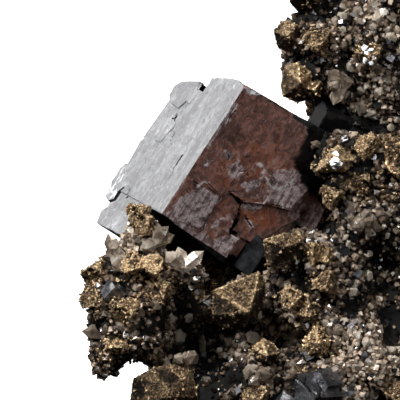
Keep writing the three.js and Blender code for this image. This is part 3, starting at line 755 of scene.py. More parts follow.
def face_masks(mesh):
    """How tarnished each face of the cube is, and how much painted shade it gets, apart from the marks in its front and
    left faces.
    """
    facing = turned_to_cube(read(mesh.polygons, "normal"))
    centres = read(mesh.polygons, "center") / MM
    slab, cube = to_slab(centres), to_cube(centres)
    x, y, z = cube.T
    lesser, near = np.zeros(len(x)), np.zeros(len(x), bool)
    for middle, reach, weight in LESSER_CUBES:
        away = np.linalg.norm(slab - middle, axis=1)
        lesser = np.maximum(lesser, weight * (np.abs(facing).max(1) < 0.96) * (away < reach))
        near |= away < 1.2 * reach
    under = ((facing[:, 1] > 0.5) & (y > 19)) | ((y > 30.3) & (facing[:, 0] > -0.5) & (x > 0))
    pits = np.zeros(len(x), bool)
    for low, high in PITS:
        pits |= np.all((cube > np.array(low) - PIT_RIM) & (cube < np.array(high) + PIT_RIM), axis=1)
    pits &= (facing[:, 0] > -0.7) | (x > 0.4)
    outside = np.any(cube < PLAIN_BOX[0], axis=1) | np.any(cube > PLAIN_BOX[1], axis=1)
    outside &= near & (x > 2.5)
    tarnished = ((facing[:, 0] > -0.45) | (x > 1.6) | (z < 0.1)) & (lesser == 0) & ~outside
    tarnished &= (x > 0.7) | (z < 0.3) | (y < 0.3) | (y > 29.7)
    # painted shade: the lesser cubes, the undersides, the faces outside the plain box and the pits
    return tarnished, np.maximum.reduce([lesser, 0.97 * under, 0.85 * outside, pits])


def large_cube():
    """The large galena: steps, plates and cracks as relief, tarnish, painted shadow and painted highlights as masks for
    its material.
    """
    wide, thin, strokes = ([on_face(line, *FRONT) for line in lines] for lines in (WIDE_CRACKS, FINE_CRACKS, STROKES))
    left, slits = ([on_face(line, *LEFT) for line in lines] for lines in (LEFT_LINES, LEFT_SLITS))
    grey, bright = (
        [(weight, on_face(ring, *FRONT)) for weight, ring in outlines] for outlines in (GREY_PATCHES, BRIGHT_PATCHES)
    )
    rings = [closed(ring) for _, ring in grey + bright]
    mesh, sharp = cube_in_squares(wide + thin + rings + strokes, left + slits)
    places = corners_of(mesh)
    cube, facing, front, side = faced(places, normals_of(mesh))
    flat, seen, elsewhere = cube[:, :2], pixels(places), (1 - front) * (1 - side)
    ragged = np.stack([layered(places, 0.9, 211 + k) for k in range(2)], -1)

    deep = front * (1 - smooth(0.15, 0.27, to_lines(flat, wide) + 0.06 * noise(places, 0.5, 3)))
    hair = front * (1 - smooth(0.05, 0.16, to_lines(flat, thin)))
    line = side * (1 - smooth(0.04, 0.16, to_lines(cube[:, [2, 1]], left)))
    slit = side * (1 - smooth(0.12, 0.24, to_lines(cube[:, [2, 1]], slits)))
    chip = np.where(cube[:, 0] < -0.02, 0.05, np.where(cube[:, 0] + cube[:, 2] < 2, 0.12, 0.32))
    chipped = sharp * (0.05 + chip * smooth(0.0, 0.7, noise(places, 1.5, 5)))
    across = np.array([[2, 1], [0, 2], [0, 1]])[np.abs(facing).argmax(1)]
    on_own = np.take_along_axis(cube, across, 1)
    tone = 0.65 * plates(on_own, 2.7, 8, 29) + 0.35 * plates(on_own, 1.2, 3.4, 37)
    stepped = (np.abs(facing).max(1) > 0.9) & (front == 0) & (cube[:, 2] > 0.3)
    waves = 0.02 * layered(places, 3.4, 11) + np.where(stepped, np.where(side > 0, 0.04, 0.16) * (tone - 0.5), 0.0)
    plate = patches(flat + 0.12 * ragged, grey, 0.08) * front
    plate = np.maximum(plate, 0.45 * elsewhere * smooth(0.55, 0.85, tone + 0.3 * layered(places, 4, 151, 2)))
    # the flakes of the left face: some relief, and a painted highlight
    flake_highlight = side * spots(seen + 5 * ragged, FLAKE_HIGHLIGHT_SPOTS)
    sunk = 0.5 * deep + 0.4 * slit + 0.12 * hair + 0.03 * line + chipped + 0.12 * flake_highlight * np.abs(noise(places, 0.7, 23))
    swell(mesh, waves + 0.06 * plate - sunk)

    # painted highlights on the front face, where the tarnish gives way
    lit = patches(flat, bright, 0.08) * front
    wild = 0.8 * elsewhere * smooth(0.0, 0.6, noise(places, 9, 157))
    paint(mesh, "crack", np.maximum.reduce([deep, 0.85 * hair, 0.25 * line, slit]))
    paint(mesh, "grey", plate)
    paint(mesh, "stroke", front * (1 - smooth(0.06, 0.26, to_lines(flat + 0.1 * ragged, strokes))))
    paint(mesh, "tone", tone)
    paint(mesh, "orange", np.maximum(front * spots(seen + 4 * ragged, ORANGE_SPOTS), wild))
    # painted highlights of the flakes and of the front face's bright patches
    paint(mesh, "flake_highlight", np.maximum(flake_highlight, lit))
    layer = mesh.attributes.new("grown", "FLOAT_VECTOR", "POINT")
    layer.data.foreach_set("vector", (cube * MM).astype(np.float32).ravel())
    tarnished, shade = (np.repeat(mask, read(mesh.polygons, "loop_total", 1)) for mask in face_masks(mesh))
    of_corner = read(mesh.loops, "vertex_index", 1)
    # dark: painted shade of the dark patches, the undersides, pits and lesser cubes, and dark spots that are partly
    # dark tarnish
    shade_and_dark_spots = np.maximum(spots(seen + 4 * ragged, DARK_SPOTS), patches(seen + 3 * ragged, DARK_PATCHES, 1.4))
    paint(mesh, "tarnish", tarnished * (1 - lit[of_corner]), "CORNER")
    paint(mesh, "dark", np.maximum((front * shade_and_dark_spots)[of_corner], shade), "CORNER")
    add_piece("galena_cube_grown", mesh, GALENA, ["galena_cube"])


# By frame pixel: cracks in the galena at the foot, and cleavages of the small cubes that get a painted highlight.
FOOT_CRACKS = [
    [(294, 378), (303, 384), (309, 391), (316, 394)], [(317, 380), (321, 388), (320, 399)], [(303, 384), (306, 378)],
]  # fmt: skip
GLINTS = [(280, 396, 15, 6, 1, -12), (113, 286, 4, 4, 0.6)]


def small_cubes():
    """The lesser galenas: cleavage relief on the CAD forms."""
    cracks = [np.array(line, float) for line in FOOT_CRACKS]
    for node in nodes_of("galena"):
        if node == "galena_cube":
            continue
        mesh = crisp(node, 0.28 if node == "galena_foot_front" else 0.5)
        places = corners_of(mesh)
        seen, toward = pixels(places), normals_of(mesh) @ -INTO
        wander = np.stack([noise(places, 0.8, 33 + k) for k in range(2)], -1)
        crack = (1 - smooth(0.6, 1.5, to_lines(seen + wander, cracks))) * smooth(0.1, 0.4, toward)
        steps = np.round(1.6 * noise(places, 2.6, 31)) * 0.05
        swell(mesh, steps - 0.06 - 0.25 * crack + 0.03 * noise(places, 0.6, 37))
        paint(mesh, "dark", np.maximum(crack, 0.5 * smooth(-0.1, 0.5, noise(places, 3, 39))))
        # painted highlight on the cleavages that face the camera
        paint(mesh, "flake_highlight", spots(seen, GLINTS) * (toward > 0.3))
        add_piece(node + "_grown", mesh, LEAD, [node])


# ---------------------------------------------------------------- chalcopyrite crystals

BRASS_VOXEL = 0.26
KEY_AT = (-0.40, -0.36, 0.70)
KEY_WAY = np.array(KEY_AT) / np.linalg.norm(KEY_AT)
# By frame pixel: where the brass is bright, and outlines of the crystal faces that get painted shade and are set back a
# little.
GOLD_ZONES = [
    (138, 266, 40, 20, 1.35), (176, 372, 30, 8, 0.5, 35), (124, 308, 14, 14, 0.8), (98, 296, 16, 24, 0.3),
    (119, 344, 16, 11, 0.8), (140, 208, 18, 16, 0.8), (314, 336, 24, 24), (258, 352, 14, 12, 0.7),
    (366, 147, 18, 14, 0.8), (334, 158, 26, 18, 0.9), (290, 296, 20, 14), (312, 258, 18, 16, 0.7),
    (288, 26, 7, 8, 0.5), (170, 288, 14, 10, 0.6), (318, 90, 10, 8),
]  # fmt: skip
SHADED_FACES = [
    (0.6, [(210, 289), (246, 313), (240, 328), (222, 330), (206, 315)]),
    (0.9, [(256, 296), (268, 280), (270, 318), (250, 330), (246, 314)]),
    (0.8, [(268, 244), (284, 240), (288, 262), (272, 268)]),
    (0.85, [(156, 368), (168, 366), (180, 377), (187, 382), (170, 383), (160, 377)]),
    (0.8, [(137, 380), (145, 376), (146, 396), (134, 400)]), (0.5, [(150, 384), (158, 380), (164, 392), (154, 398)]),
    (0.9, [(252, 358), (270, 364), (272, 378), (254, 376)]), (0.6, [(283, 88), (296, 90), (305, 104), (290, 105)]),
    (0.9, [(304, 96), (318, 97), (322, 104), (306, 108), (298, 104)]),
    (0.9, [(272, 36), (280, 34), (288, 42), (286, 54), (277, 48)]),
]  # fmt: skip
# How smooth the faces of some crystals are, and how much darker than the rest.
EVEN_FACED = {"cube_right": (0.1, -0.4), "upper_edge": (0.8, -0.08), "foot_left": (0.1, 0.12), "top_edge": (0.5, 0.1)}
PLAIN_FACED = {*EVEN_FACED, "centre_front", "under_cube", "lower_middle", "top_left"}


def to_edges(places, mesh):
    """Distance to the nearest sharp edge of a CAD solid."""
    work = opened(mesh)
    nearest = np.full(len(places), FAR)
    for edge in work.edges:
        if is_sharp(edge, CRYSTAL_EDGE):
            nearest = np.minimum(nearest, to_stretch(places, *(np.array(v.co) / MM for v in edge.verts)))
    work.free()
    return nearest


def brass_crystals():
    """The CAD crystals with a granular skin, and chips where granules stand out of it."""
    borders = [closed(ring) for _, ring in SHADED_FACES]
    seats = []
    for k, node in enumerate(nodes_of("chalcopyrite")):
        solid = welded(node)
        mesh = remeshed(solid, BRASS_VOXEL)
        places, normals = corners_of(mesh), normals_of(mesh)
        short = node.removeprefix("chalcopyrite_")
        plain, (even, darker) = short in PLAIN_FACED, EVEN_FACED.get(short, (0, 0))
        coarse, granular, pitted, hollow, seated = (
            (0.0, 0.12 - 0.09 * even, 0.08 - 0.06 * even, 0.4, 0.2) if plain else (0.4, 0.2, 0.3, 1 - 0.6 * even, 0.8)
        )
        seen, toward = pixels(places), smooth(-0.1, 0.2, normals @ -INTO)
        # painted shade on the faces that lie in shade
        shaded_face = patches(seen, SHADED_FACES, 1.6) * toward
        rim_and_highlight = 1 - smooth(0.1, 0.8, to_edges(places, solid) + 0.35 * noise(places, 0.8, 41))
        pit_and_shade = smooth(0.2, 0.6, noise(places, 1.1, 53)) * (1 - 0.7 * rim_and_highlight)
        # painted highlight: rims that face the key light are brighter
        rim_and_highlight = rim_and_highlight * (0.3 + 0.7 * smooth(-0.5, 0.4, normals @ KEY_WAY)) * (0.3 if short == "foot_left" else 1)
        border = 1 - smooth(0.8, 2.4, to_lines(seen, borders) + 0.8 * noise(places, 0.8, 49))
        rim_and_highlight = np.maximum(rim_and_highlight * (1 - 0.8 * shaded_face), 0.25 * border * toward)
        height = coarse * (grains_height(places, 1.5, 43) - 0.5) + granular * grains_height(places, 0.55, 47)
        height += 0.08 * rim_and_highlight - 0.1 - pitted * pit_and_shade
        places = swell(mesh, height - 0.22 * shaded_face)
        paint(mesh, "rim_and_highlight", rim_and_highlight + 0.7 * (spots(seen, GOLD_ZONES) * toward))
        paint(mesh, "even", even)
        # painted shade on faces turned down
        below = 0.75 * smooth(0.25, -0.15, normals[:, 2] + 0.15 * noise(places, 3, 59)) if plain else 0
        paint(mesh, "pit_and_shade", darker + hollow * pit_and_shade + 0.75 * shaded_face * (1 - rim_and_highlight) + below)
        add_piece(node + "_grown", mesh, BRASS, [node])
        spacing = 0.62 if plain else 0.55
        feet, facing = scatter(mesh, lambda at: np.full(len(at), spacing), 300 + k)
        share = np.where(to_edges(feet, solid) < 0.35, 0.6, seated)
        kept = np.random.default_rng(400 + k).random(len(feet)) < share
        seats.append((feet[kept], facing[kept]))
    feet, facing = (np.concatenate(column) for column in zip(*seats))
    stream = np.random.default_rng(5)
    radius = np.clip(np.exp(stream.normal(-1.15, 0.25, len(feet))), 0.2, 0.5)
    chips("chalcopyrite_chips", feet + facing * (0.35 * radius - radius)[:, None], facing, radius, stream)


def chips(name, feet, ways, radius, stream):
    """Small crystals of brass, each an eight-sided chip of its own shape."""
    ways = ways + stream.normal(0, 0.5, ways.shape)
    sizes = radius[:, None] * stream.uniform(0.75, 1.3, ways.shape)
    axes = frames(ways, stream.uniform(0, 2 * math.pi, len(feet)))
    # brighter in the gold zones, darker on the faces that lie in shade: painted shade
    bright = 1 + 0.8 * spots(pixels(feet), GOLD_ZONES) - 0.6 * patches(pixels(feet), SHADED_FACES, 1.6)
    # and darker towards each chip's foot: painted shade
    tint = bright[:, None] * chip_form()[0][:, 2]
    in_meshes(name, chip_form(), feet, axes, sizes, tint, stream, 0.22, CRUST)


# ---------------------------------------------------------------- quartz sprays


def quartz_sprays():
    """The CAD groups of quartz points, a little uneven and each in its own tint."""
    for node in nodes_of("quartz"):
        mesh = crisp(node, 0.45)
        places = corners_of(mesh)
        swell(mesh, 0.05 * noise(places, 0.7, 61) - 0.03)
        paint(mesh, "tint", 0.48 + 0.35 * spots(pixels(places), PALE_ZONES) + 0.3 * noise(places, 1.6, 67))
        add_piece(node + "_grown", mesh, CLEAR, [node])


# ---------------------------------------------------------------- rock

ROCK_SHRINK = 1.25  # the druse fills this much under the CAD surface
ROCK_VOXEL = 0.8
BASE = 0.9  # the rock below this height keeps the saw cut
SHOWN_DEPTH = (4, 12)  # in the slab frame: how deep the side goes that follows the photo, and where the rest starts
# A hollow that bares the lowest block at the right of the large cube: where it starts and ends along each cube axis.
BESIDE_BLOCK = [(24, 26, 32.5, 35), (6, 8, 19, 21.5), (-4, -2, 3, 5)]
# By frame pixel: where the crust of chalcopyrite covers the druse, and where the druse is pale, or dark and thin: a
# hollow where the rock sinks deeper and painted shade darkens it.
BRASS_ZONES = [
    (138, 211, 15, 17), (147, 262, 24, 13, 0.9), (94, 274, 12, 14), (95, 302, 15, 15), (118, 284, 16, 8, 0.9),
    (154, 276, 26, 12, 0.9), (124, 308, 17, 14, 0.9), (146, 296, 9, 11), (168, 288, 14, 9), (112, 344, 20, 12, 0.9),
    (143, 356, 12, 8), (163, 387, 34, 24), (304, 252, 16, 12, 0.9), (318, 282, 14, 9, 0.9), (291, 296, 16, 8, 0.9),
    (310, 308, 12, 9, 0.8), (315, 338, 17, 20, 0.9), (264, 350, 16, 18, 0.8), (254, 395, 14, 10, 0.8),
    (336, 350, 8, 8, 0.9), (306, 371, 16, 6, 0.9), (330, 165, 20, 18, 0.9), (365, 147, 16, 14), (392, 142, 10, 12),
    (392, 180, 14, 26), (360, 182, 14, 12, 0.9), (332, 197, 15, 11, 0.9), (368, 201, 8, 6), (300, 84, 19, 24, 0.8),
    (287, 36, 14, 18), (305, 5, 14, 8), (312, 40, 16, 16, 0.8), (366, 52, 14, 18, 0.7), (104, 362, 14, 14, 0.5),
    (226, 290, 30, 30, 0.5),
]  # fmt: skip
PALE_ZONES = [
    (369, 366, 34, 44, 1.1), (180, 258, 32, 20), (124, 243, 18, 16), (300, 322, 34, 20, 1.15, 20),
    (362, 22, 30, 22, 0.1), (378, 92, 26, 22, 0.6), (205, 345, 14, 10, 0.5),
]  # fmt: skip
DARK_ZONES = [
    (193, 322, 22, 42), (128, 363, 9, 11), (389, 325, 13, 27), (366, 127, 21, 9), (367, 164, 8, 7, 0.9),
    (318, 14, 25, 10, 0.8), (200, 245, 26, 18, 0.9, 35), (300, 118, 26, 8, 0.9, 30), (275, 312, 8, 12, 0.5),
    (335, 114, 26, 8, 0.6), (146, 330, 10, 8, 0.5), (345, 64, 9, 16, 0.6), (160, 318, 14, 10, 0.6),
    (230, 325, 26, 10, 0.8), (288, 275, 14, 7, 0.7), (300, 60, 20, 6, 0.8), (322, 172, 8, 25),
    (385, 250, 18, 20, 0.6), (345, 250, 12, 8, 0.7), (352, 305, 12, 16, 0.7, 30), (225, 375, 30, 16, 0.7),
    (380, 290, 20, 8, 0.6), (330, 225, 10, 20, 0.7), (208, 362, 20, 10, 0.6), (345, 125, 30, 8, 0.8),
]  # fmt: skip


def crystal_tree():
    """A search tree over every crystal."""
    corners, faces = [], []
    for node in sorted(NODES):
        if node != "rock":
            mesh, start = NODES[node].data, len(corners)
            corners += corners_of(mesh).tolist()
            faces += [[start + i for i in p.vertices] for p in mesh.polygons]
    return BVHTree.FromPolygons(corners, faces)


def within(tree, place):
    """Whether a place lies in a crystal: a ray from it leaves more of them than it enters."""
    start, way, left = Vector(place), Vector((0.3, 0.2, 0.93)), 0
    while True:
        hit, normal = tree.ray_cast(start, way)[:2]
        if hit is None:
            return left > 0
        left += 1 if normal.dot(way) > 0 else -1
        start = hit + way * 1e-3


def nearest_crystal(tree, places):
    """Distance to the nearest crystal, negative inside it."""
    away = np.empty(len(places))
    for i, place in enumerate(places.tolist()):
        hit, normal, _, distance = tree.find_nearest(place)
        outside = (Vector(place) - hit).dot(normal) >= 0 or not within(tree, place)
        away[i] = distance if outside else -distance
    return away


def kinds(places):
    """How brassy, how dark and how pale the druse is at each place. Dark marks hollows, where the rock sinks deeper,
    the druse thins and painted shade darkens rock and grains.
    """
    seen = pixels(places)
    shown = 1 - smooth(*SHOWN_DEPTH, to_slab(places)[:, 1])
    shown *= (seen[:, 0] < 402) & (seen[:, 1] < 404) & (seen[:, 1] > -4)
    brass, dark, pale = (spots(seen, zones) * shown for zones in (BRASS_ZONES, DARK_ZONES, PALE_ZONES))
    wild = smooth(0.15, 0.4, layered(places, 9, 83, 2)) * (1 - shown)
    pale = np.maximum(pale, 0.9 * smooth(-0.15, 0.3, layered(places, 13, 131, 2)) * (1 - shown))
    voids = 0.9 * smooth(0.32, 0.62, layered(places, 4.5, 113, 2)) * (1 - np.minimum(pale, 1))
    return np.maximum(brass, wild), np.maximum(dark, voids), pale


def rock(tree):
    """The matrix, sunk under the druse, hollowed out beside the large cube and rough where no crystal covers it."""

    def surface(mesh):
        """Corners, normals, how far each corner is from the crystals, and which corners are in the saw cut."""
        places, normals = corners_of(mesh), normals_of(mesh)
        sawn = (places[:, 2] < BASE) & (normals[:, 2] < -0.6)
        return places, normals, nearest_crystal(tree, places), sawn

    mesh = remeshed(welded("rock"), ROCK_VOXEL)
    places, normals, away, sawn = surface(mesh)
    places -= normals * (ROCK_SHRINK * (1 + 0.7 * kinds(places)[1]) * smooth(0.4, 1.6, away) * ~sawn)[:, None]
    beside = np.ones(len(places))
    for along, (start, low, high, end) in zip(to_cube(places).T, BESIDE_BLOCK):
        beside *= smooth(start, low, along) * (1 - smooth(high, end, along))
    move_corners(mesh, places + INTO * (2.4 * beside)[:, None])
    mesh = remeshed(mesh, ROCK_VOXEL)
    places, normals, away, sawn = surface(mesh)
    height = 0.30 * layered(places, 2.4, 71) + 0.16 * noise(places, 0.9, 79)
    height *= smooth(0.1, 1.2, away) * ~sawn
    places += normals * height[:, None]
    places[:, 2] = np.where(sawn, 0, np.maximum(places[:, 2], 0))
    move_corners(mesh, places)
    _, dark, pale = kinds(places)
    paint(mesh, "pale", pale * (1 - dark))
    # dark: painted shade in the hollows, over a darker tone all over
    paint(mesh, "dark", np.clip(0.3 + dark - pale, 0, 1))
    add_piece("rock_matrix", mesh, ROCK, ["rock"], smooth_shaded=True)
    return mesh


# ---------------------------------------------------------------- forms of small crystals

RING = [(math.cos(i * math.pi / 3), math.sin(i * math.pi / 3)) for i in range(6)]
LOWEST = 0.02  # no corner of a small crystal is lower
MESH_LIMIT = 12000  # crystals in one mesh


def steps_around(count):
    return [(i, (i + 1) % count) for i in range(count)]


def quartz_form(pyramid):
    """A six-sided point of height 1 and radius 1, its foot at the origin."""
    corners = [(0.8 * x, 0.8 * y, 0) for x, y in RING] + [(x, y, 1 - pyramid) for x, y in RING] + [(0.1, 0.05, 1)]
    sides = [(i, j, 6 + j, 6 + i) for i, j in steps_around(6)]
    return np.array(corners), sides + [(6 + i, 6 + j, 12) for i, j in steps_around(6)] + [(5, 4, 3, 2, 1, 0)]


def spindle(ring, top, foot):
    """A form of triangles from a ring of corners up to its top and down to its foot."""
    count = len(ring)
    faces = [(i, j, count) for i, j in steps_around(count)] + [(j, i, count + 1) for i, j in steps_around(count)]
    return np.array([*ring, top, foot]), faces


def grain_form():
    """A six-sided point that narrows again below its shoulder, down to a foot in the rock."""
    ring = [(x, y, 0.55 + (0.1 if i % 2 else -0.1)) for i, (x, y) in enumerate(RING)]
    return spindle(ring, (0.08, 0, 1), (0, 0, -0.4))


def chip_form():
    """Eight faces about a middle, its foot at the origin."""
    return spindle([(1, 0, 0.9), (0, 1, 0.8), (-1, 0, 0.9), (0, -1, 0.8)], (0.1, 0.1, 1.7), (0, 0, -0.1))


def sphenoid_form(blunt):
    """A tetrahedron of radius 1 with its corners cut off, its foot at the origin."""
    tips = np.array([(1, 1, 1), (1, -1, -1), (-1, 1, -1), (-1, -1, 1)]) / math.sqrt(3)
    cuts = {ends: k for k, ends in enumerate(permutations(range(4), 2))}
    corners = np.array([tips[i] + (tips[j] - tips[i]) * blunt for i, j in cuts])
    faces = []
    for i in range(4):
        a, b, c = others = [j for j in range(4) if j != i]
        faces.append([cuts[i, j] for j in others])
        faces.append([cuts[ends] for ends in ((a, b), (b, a), (b, c), (c, b), (c, a), (a, c))])
    for k, face in enumerate(faces):
        a, b, c = corners[face[:3]]
        if np.cross(b - a, c - a) @ corners[face].mean(0) < 0:
            faces[k] = face[::-1]
    corners[:, 2] += 0.5
    return corners * (1.25, 1.25, 0.75), faces


def cube_form():
    """A block of height 1, its foot at the origin."""
    corners = np.array(list(product((-0.6, 0.6), (-0.6, 0.6), (0, 1))))
    return corners, [(0, 1, 3, 2), (4, 6, 7, 5), (0, 4, 5, 1), (2, 3, 7, 6), (0, 2, 6, 4), (1, 5, 7, 3)]


def frames(directions, spins):
    """Right-handed axes whose third is the given direction, turned by the spin."""
    third = directions / np.linalg.norm(directions, axis=1, keepdims=True)
    helper = np.where(np.abs(third[:, 2:]) < 0.9, [[0.0, 0, 1]], [[1.0, 0, 0]])
    first = np.cross(helper, third)
    first /= np.linalg.norm(first, axis=1, keepdims=True)
    second = np.cross(third, first)
    c, s = np.cos(spins)[:, None], np.sin(spins)[:, None]
    return np.stack([first * c + second * s, second * c - first * s, third], 1)


def many(form, feet, axes, sizes, stream=None, uneven=0.0):
    """One mesh of many copies of a form: where each stands, how it's turned, its two half widths and its height."""
    corners, faces = form
    count, each = len(feet), len(corners)
    scaled = np.tile(corners, (count, 1, 1))
    if uneven:
        scaled = scaled + stream.uniform(-uneven, uneven, scaled.shape)
    places = np.einsum("nki,nij->nkj", scaled * sizes[:, None, :], axes) + feet[:, None, :]
    places[..., 2] = np.maximum(places[..., 2], LOWEST)
    loops = (np.concatenate(faces)[None, :] + each * np.arange(count)[:, None]).ravel()
    totals = np.tile([len(face) for face in faces], count)
    mesh = bpy.data.meshes.new("druse")
    mesh.vertices.add(count * each)
    mesh.loops.add(len(loops))
    mesh.polygons.add(len(totals))
    mesh.vertices.foreach_set("co", (places * MM).ravel())
    mesh.loops.foreach_set("vertex_index", loops.astype(np.int32))
    mesh.polygons.foreach_set("loop_start", (np.cumsum(totals) - totals).astype(np.int32))
    mesh.update(calc_edges=True)
    mesh.validate()
    return mesh


def in_meshes(name, form, feet, axes, sizes, tint, stream, uneven, material, limit=MESH_LIMIT):
    """Many copies of a form, in pieces of a limited size. The tint is given for each corner of each copy."""
    for k, start in enumerate(range(0, len(feet), limit)):
        some = slice(start, start + limit)
        mesh = many(form, feet[some], axes[some], sizes[some], stream, uneven)
        paint(mesh, "tint", tint[some].ravel())
        add_piece(f"{name}_{k + 1}", mesh, material)


# ---------------------------------------------------------------- crystals set one by one

# Frame pixel, half width, height above the rock, and the slab direction that each crystal points in.
QUARTZ_ONES = [
    (145, 201, 1.3, 1.6, 0.1, -0.5, 0.9), (128, 229, 1.4, 1.8, -0.3, -0.8, 0.5), (138, 237, 1.5, 1.5, 0.2, -1, 0.1),
    (156, 233, 1.9, 1.8, 0.1, -1, 0.2), (172, 252, 1.4, 1.8, 0.2, -0.8, 0.5), (165, 262, 1.2, 1.4, -0.2, -1, 0.4),
    (178, 270, 1.4, 1.4, 0.3, -1, 0.1), (190, 262, 1.5, 2, 0, -0.6, 0.8), (200, 270, 1.3, 1.6, 0.4, -1, 0.2),
    (206, 262, 1, 1.4, 0.5, -0.7, 0.6), (184, 255, 1.2, 1.6, -0.3, -0.7, 0.7), (195, 279, 1.1, 1.2, 0.2, -1, -0.2),
    (121, 272, 1, 1.3, 0, -1, 0.1), (100, 333, 1.7, 1.2, -0.5, -0.8, 0.2), (92, 341, 1.2, 1, -0.8, -0.5, 0.1),
    (180, 357, 0.9, 1.3, -0.5, -0.7, 0.4), (186, 356, 0.9, 1.3, 0.4, -0.7, 0.5), (183, 363, 0.9, 1.2, 0, -0.9, -0.4),
    (202, 350, 0.8, 3.6, 0.05, -0.35, 0.9), (210, 361, 0.5, 0.8, 0, -1, 0), (206, 383, 1.5, 1.2, 0, -1, 0.1),
    (228, 273, 0.9, 2.2, 0.1, -0.7, 0.7), (293, 256, 0.8, 1.2, -0.2, -1, 0.2), (309, 267, 1, 1.5, 0, -1, 0),
    (279, 311, 0.8, 1.2, 0, -1, 0.1), (253, 337, 1.7, 2.2, -0.15, -1, 0.25), (251, 372, 1.7, 1.8, -0.3, -1, 0.3),
    (256, 361, 1.2, 1.5, 0.2, -1, 0.4), (273, 379, 1.8, 1.8, 0.2, -0.9, 0.5), (292, 336, 1.5, 1.7, 0.3, -0.9, 0.5),
    (288, 346, 1.2, 1.5, -0.3, -1, 0), (338, 211, 1.2, 1.5, -0.4, -1, 0.2), (388, 211, 1.1, 1.4, 0.2, -1, 0.2),
    (340, 305, 0.9, 1.2, 0, -1, 0.3), (352, 291, 1.3, 1.5, -0.3, -1, 0.3), (368, 276, 1.2, 1.6, 0.1, -1, 0.3),
    (368, 254, 1.1, 1.4, 0.3, -0.9, 0.5), (385, 235, 1, 1.3, 0, -1, 0.2), (343, 31, 0.9, 1.4, -0.3, -1, 0.4),
    (356, 31, 0.8, 1.2, 0.2, -1, 0.3), (320, 27, 0.8, 1.3, -0.4, -0.8, 0.6), (353, 66, 1.4, 1.6, -0.5, -1, 0.2),
    (335, 84, 1.7, 1.8, -0.3, -1, 0.3), (346, 92, 1.4, 1.6, 0.3, -1, 0.1), (379, 91, 1.3, 1.6, 0.4, -0.8, 0.5),
    (361, 108, 1.5, 1.8, -0.2, -1, 0.3), (372, 113, 1.3, 1.5, 0.3, -1, -0.2), (170, 318, 1.6, 1.8, -0.2, -0.8, 0.6),
    (178, 336, 1.8, 2, 0.2, -0.8, 0.6), (188, 318, 1.2, 1.4, 0.4, -0.9, 0.1), (372, 391, 2, 1.8, -0.2, -1, 0.3),
    (352, 331, 1.1, 1.4, -0.1, -1, 0.4), (366, 342, 1.2, 1.4, 0.3, -1, 0.2), (345, 322, 1, 1.3, -0.4, -1, 0.2),
    (380, 352, 1.2, 1.5, 0.1, -0.9, 0.5), (357, 366, 1.4, 1.6, -0.3, -1, 0.1), (386, 371, 1.3, 1.5, 0.4, -1, 0.1),
    (395, 391, 1.5, 1.6, 0.1, -1, 0.2), (340, 372, 1.2, 1.5, 0, -1, 0.4), (335, 22, 1.2, 1.5, 0.3, -1, 0.2),
    (358, 12, 1.4, 1.5, -0.2, -1, 0.3), (378, 18, 1.3, 1.5, 0.2, -1, 0.1), (392, 38, 1.4, 1.5, -0.3, -1, 0.3),
    (370, 232, 1.3, 1.5, 0.2, -1, 0.4), (350, 243, 1.2, 1.4, -0.2, -1, 0.2), (335, 256, 1, 1.3, 0.1, -1, 0.3),
]  # fmt: skip
BRASS_ONES = [
    (148, 297, 1.2, 1.5, 0.2, -1, 0.3), (143, 357, 1.4, 1.4, 0.1, -1, -0.2), (160, 342, 1.2, 1.4, 0.3, -1, 0),
    (118, 283, 1, 1.3, -0.2, -1, 0.4), (283, 298, 1.3, 1.6, -0.3, -1, 0.5), (292, 296, 1.7, 1.7, 0.2, -1, 0.2),
    (310, 308, 1.5, 1.7, 0.2, -1, 0.4), (336, 350, 1.3, 1.5, 0, -1, 0.2), (299, 371, 1.8, 1.8, -0.3, -1, 0.3),
    (326, 284, 1.3, 1.5, 0.3, -1, 0.2), (150, 262, 1.4, 1.5, 0, -0.8, 0.6), (160, 257, 1.2, 1.5, 0.3, -0.8, 0.6),
    (136, 262, 1.5, 1.5, -0.3, -0.9, 0.3), (167, 288, 1.8, 1.6, 0.3, -1, -0.3), (182, 285, 1.2, 1.4, 0.4, -1, 0),
    (104, 352, 1.2, 1.3, -0.4, -1, 0), (130, 328, 1.4, 1.4, 0, -1, 0.1), (140, 340, 1.1, 1.3, 0.2, -1, 0.3),
    (97, 318, 1.1, 1.3, -0.6, -0.8, 0.2), (312, 232, 1.2, 1.4, -0.2, -1, 0.4), (328, 262, 1.2, 1.4, 0.3, -1, 0),
    (318, 47, 1.5, 1.7, -0.3, -1, 0.1), (310, 35, 1.3, 1.6, 0.2, -1, 0.4), (326, 56, 1.2, 1.4, 0.3, -0.9, 0.4),
    (352, 160, 1.4, 1.5, -0.2, -1, 0.3), (395, 165, 1.6, 1.6, -0.2, -1, 0.2), (385, 198, 1.5, 1.6, 0.1, -1, 0.3),
    (397, 186, 1.4, 1.5, 0, -1, 0.4), (345, 184, 1.2, 1.4, -0.4, -1, 0.1), (380, 170, 1.2, 1.4, 0.2, -1, 0.4),
]  # fmt: skip
LEAD_ONES = [
    (113, 289, 1.1, 1.3, -0.3, -1, 0.4), (349, 214, 1.6, 1.4, 0.3, -0.9, 0.4), (356, 276, 1.4, 1.4, 0.2, -1, 0.5),
    (310, 356, 1.6, 1.5, -0.2, -1, 0.2), (348, 395, 1.4, 1.4, 0, -1, 0.3), (313, 119, 2.2, 1.8, -0.3, -1, 0.3),
    (389, 60, 1.2, 1.4, 0.2, -1, 0.3), (127, 274, 0.9, 1.2, 0.1, -1, 0.3), (225, 285, 0.8, 1.2, 0.3, -1, 0.3),
    (200, 384, 0.9, 1.2, 0.4, -1, 0.2), (236, 392, 1, 1.2, 0.3, -1, 0.4), (184, 376, 1, 1.2, -0.3, -1, 0.3),
]  # fmt: skip
# Frame pixels where bright cleavages on a crystal throw the light at the camera, their white a painted highlight: the
# middle, reach and number of them.
GLINT_ONES = [(336, 162, 6, 13), (366, 54, 5, 7), (371, 62, 5, 7), (107, 180, 4, 3)]


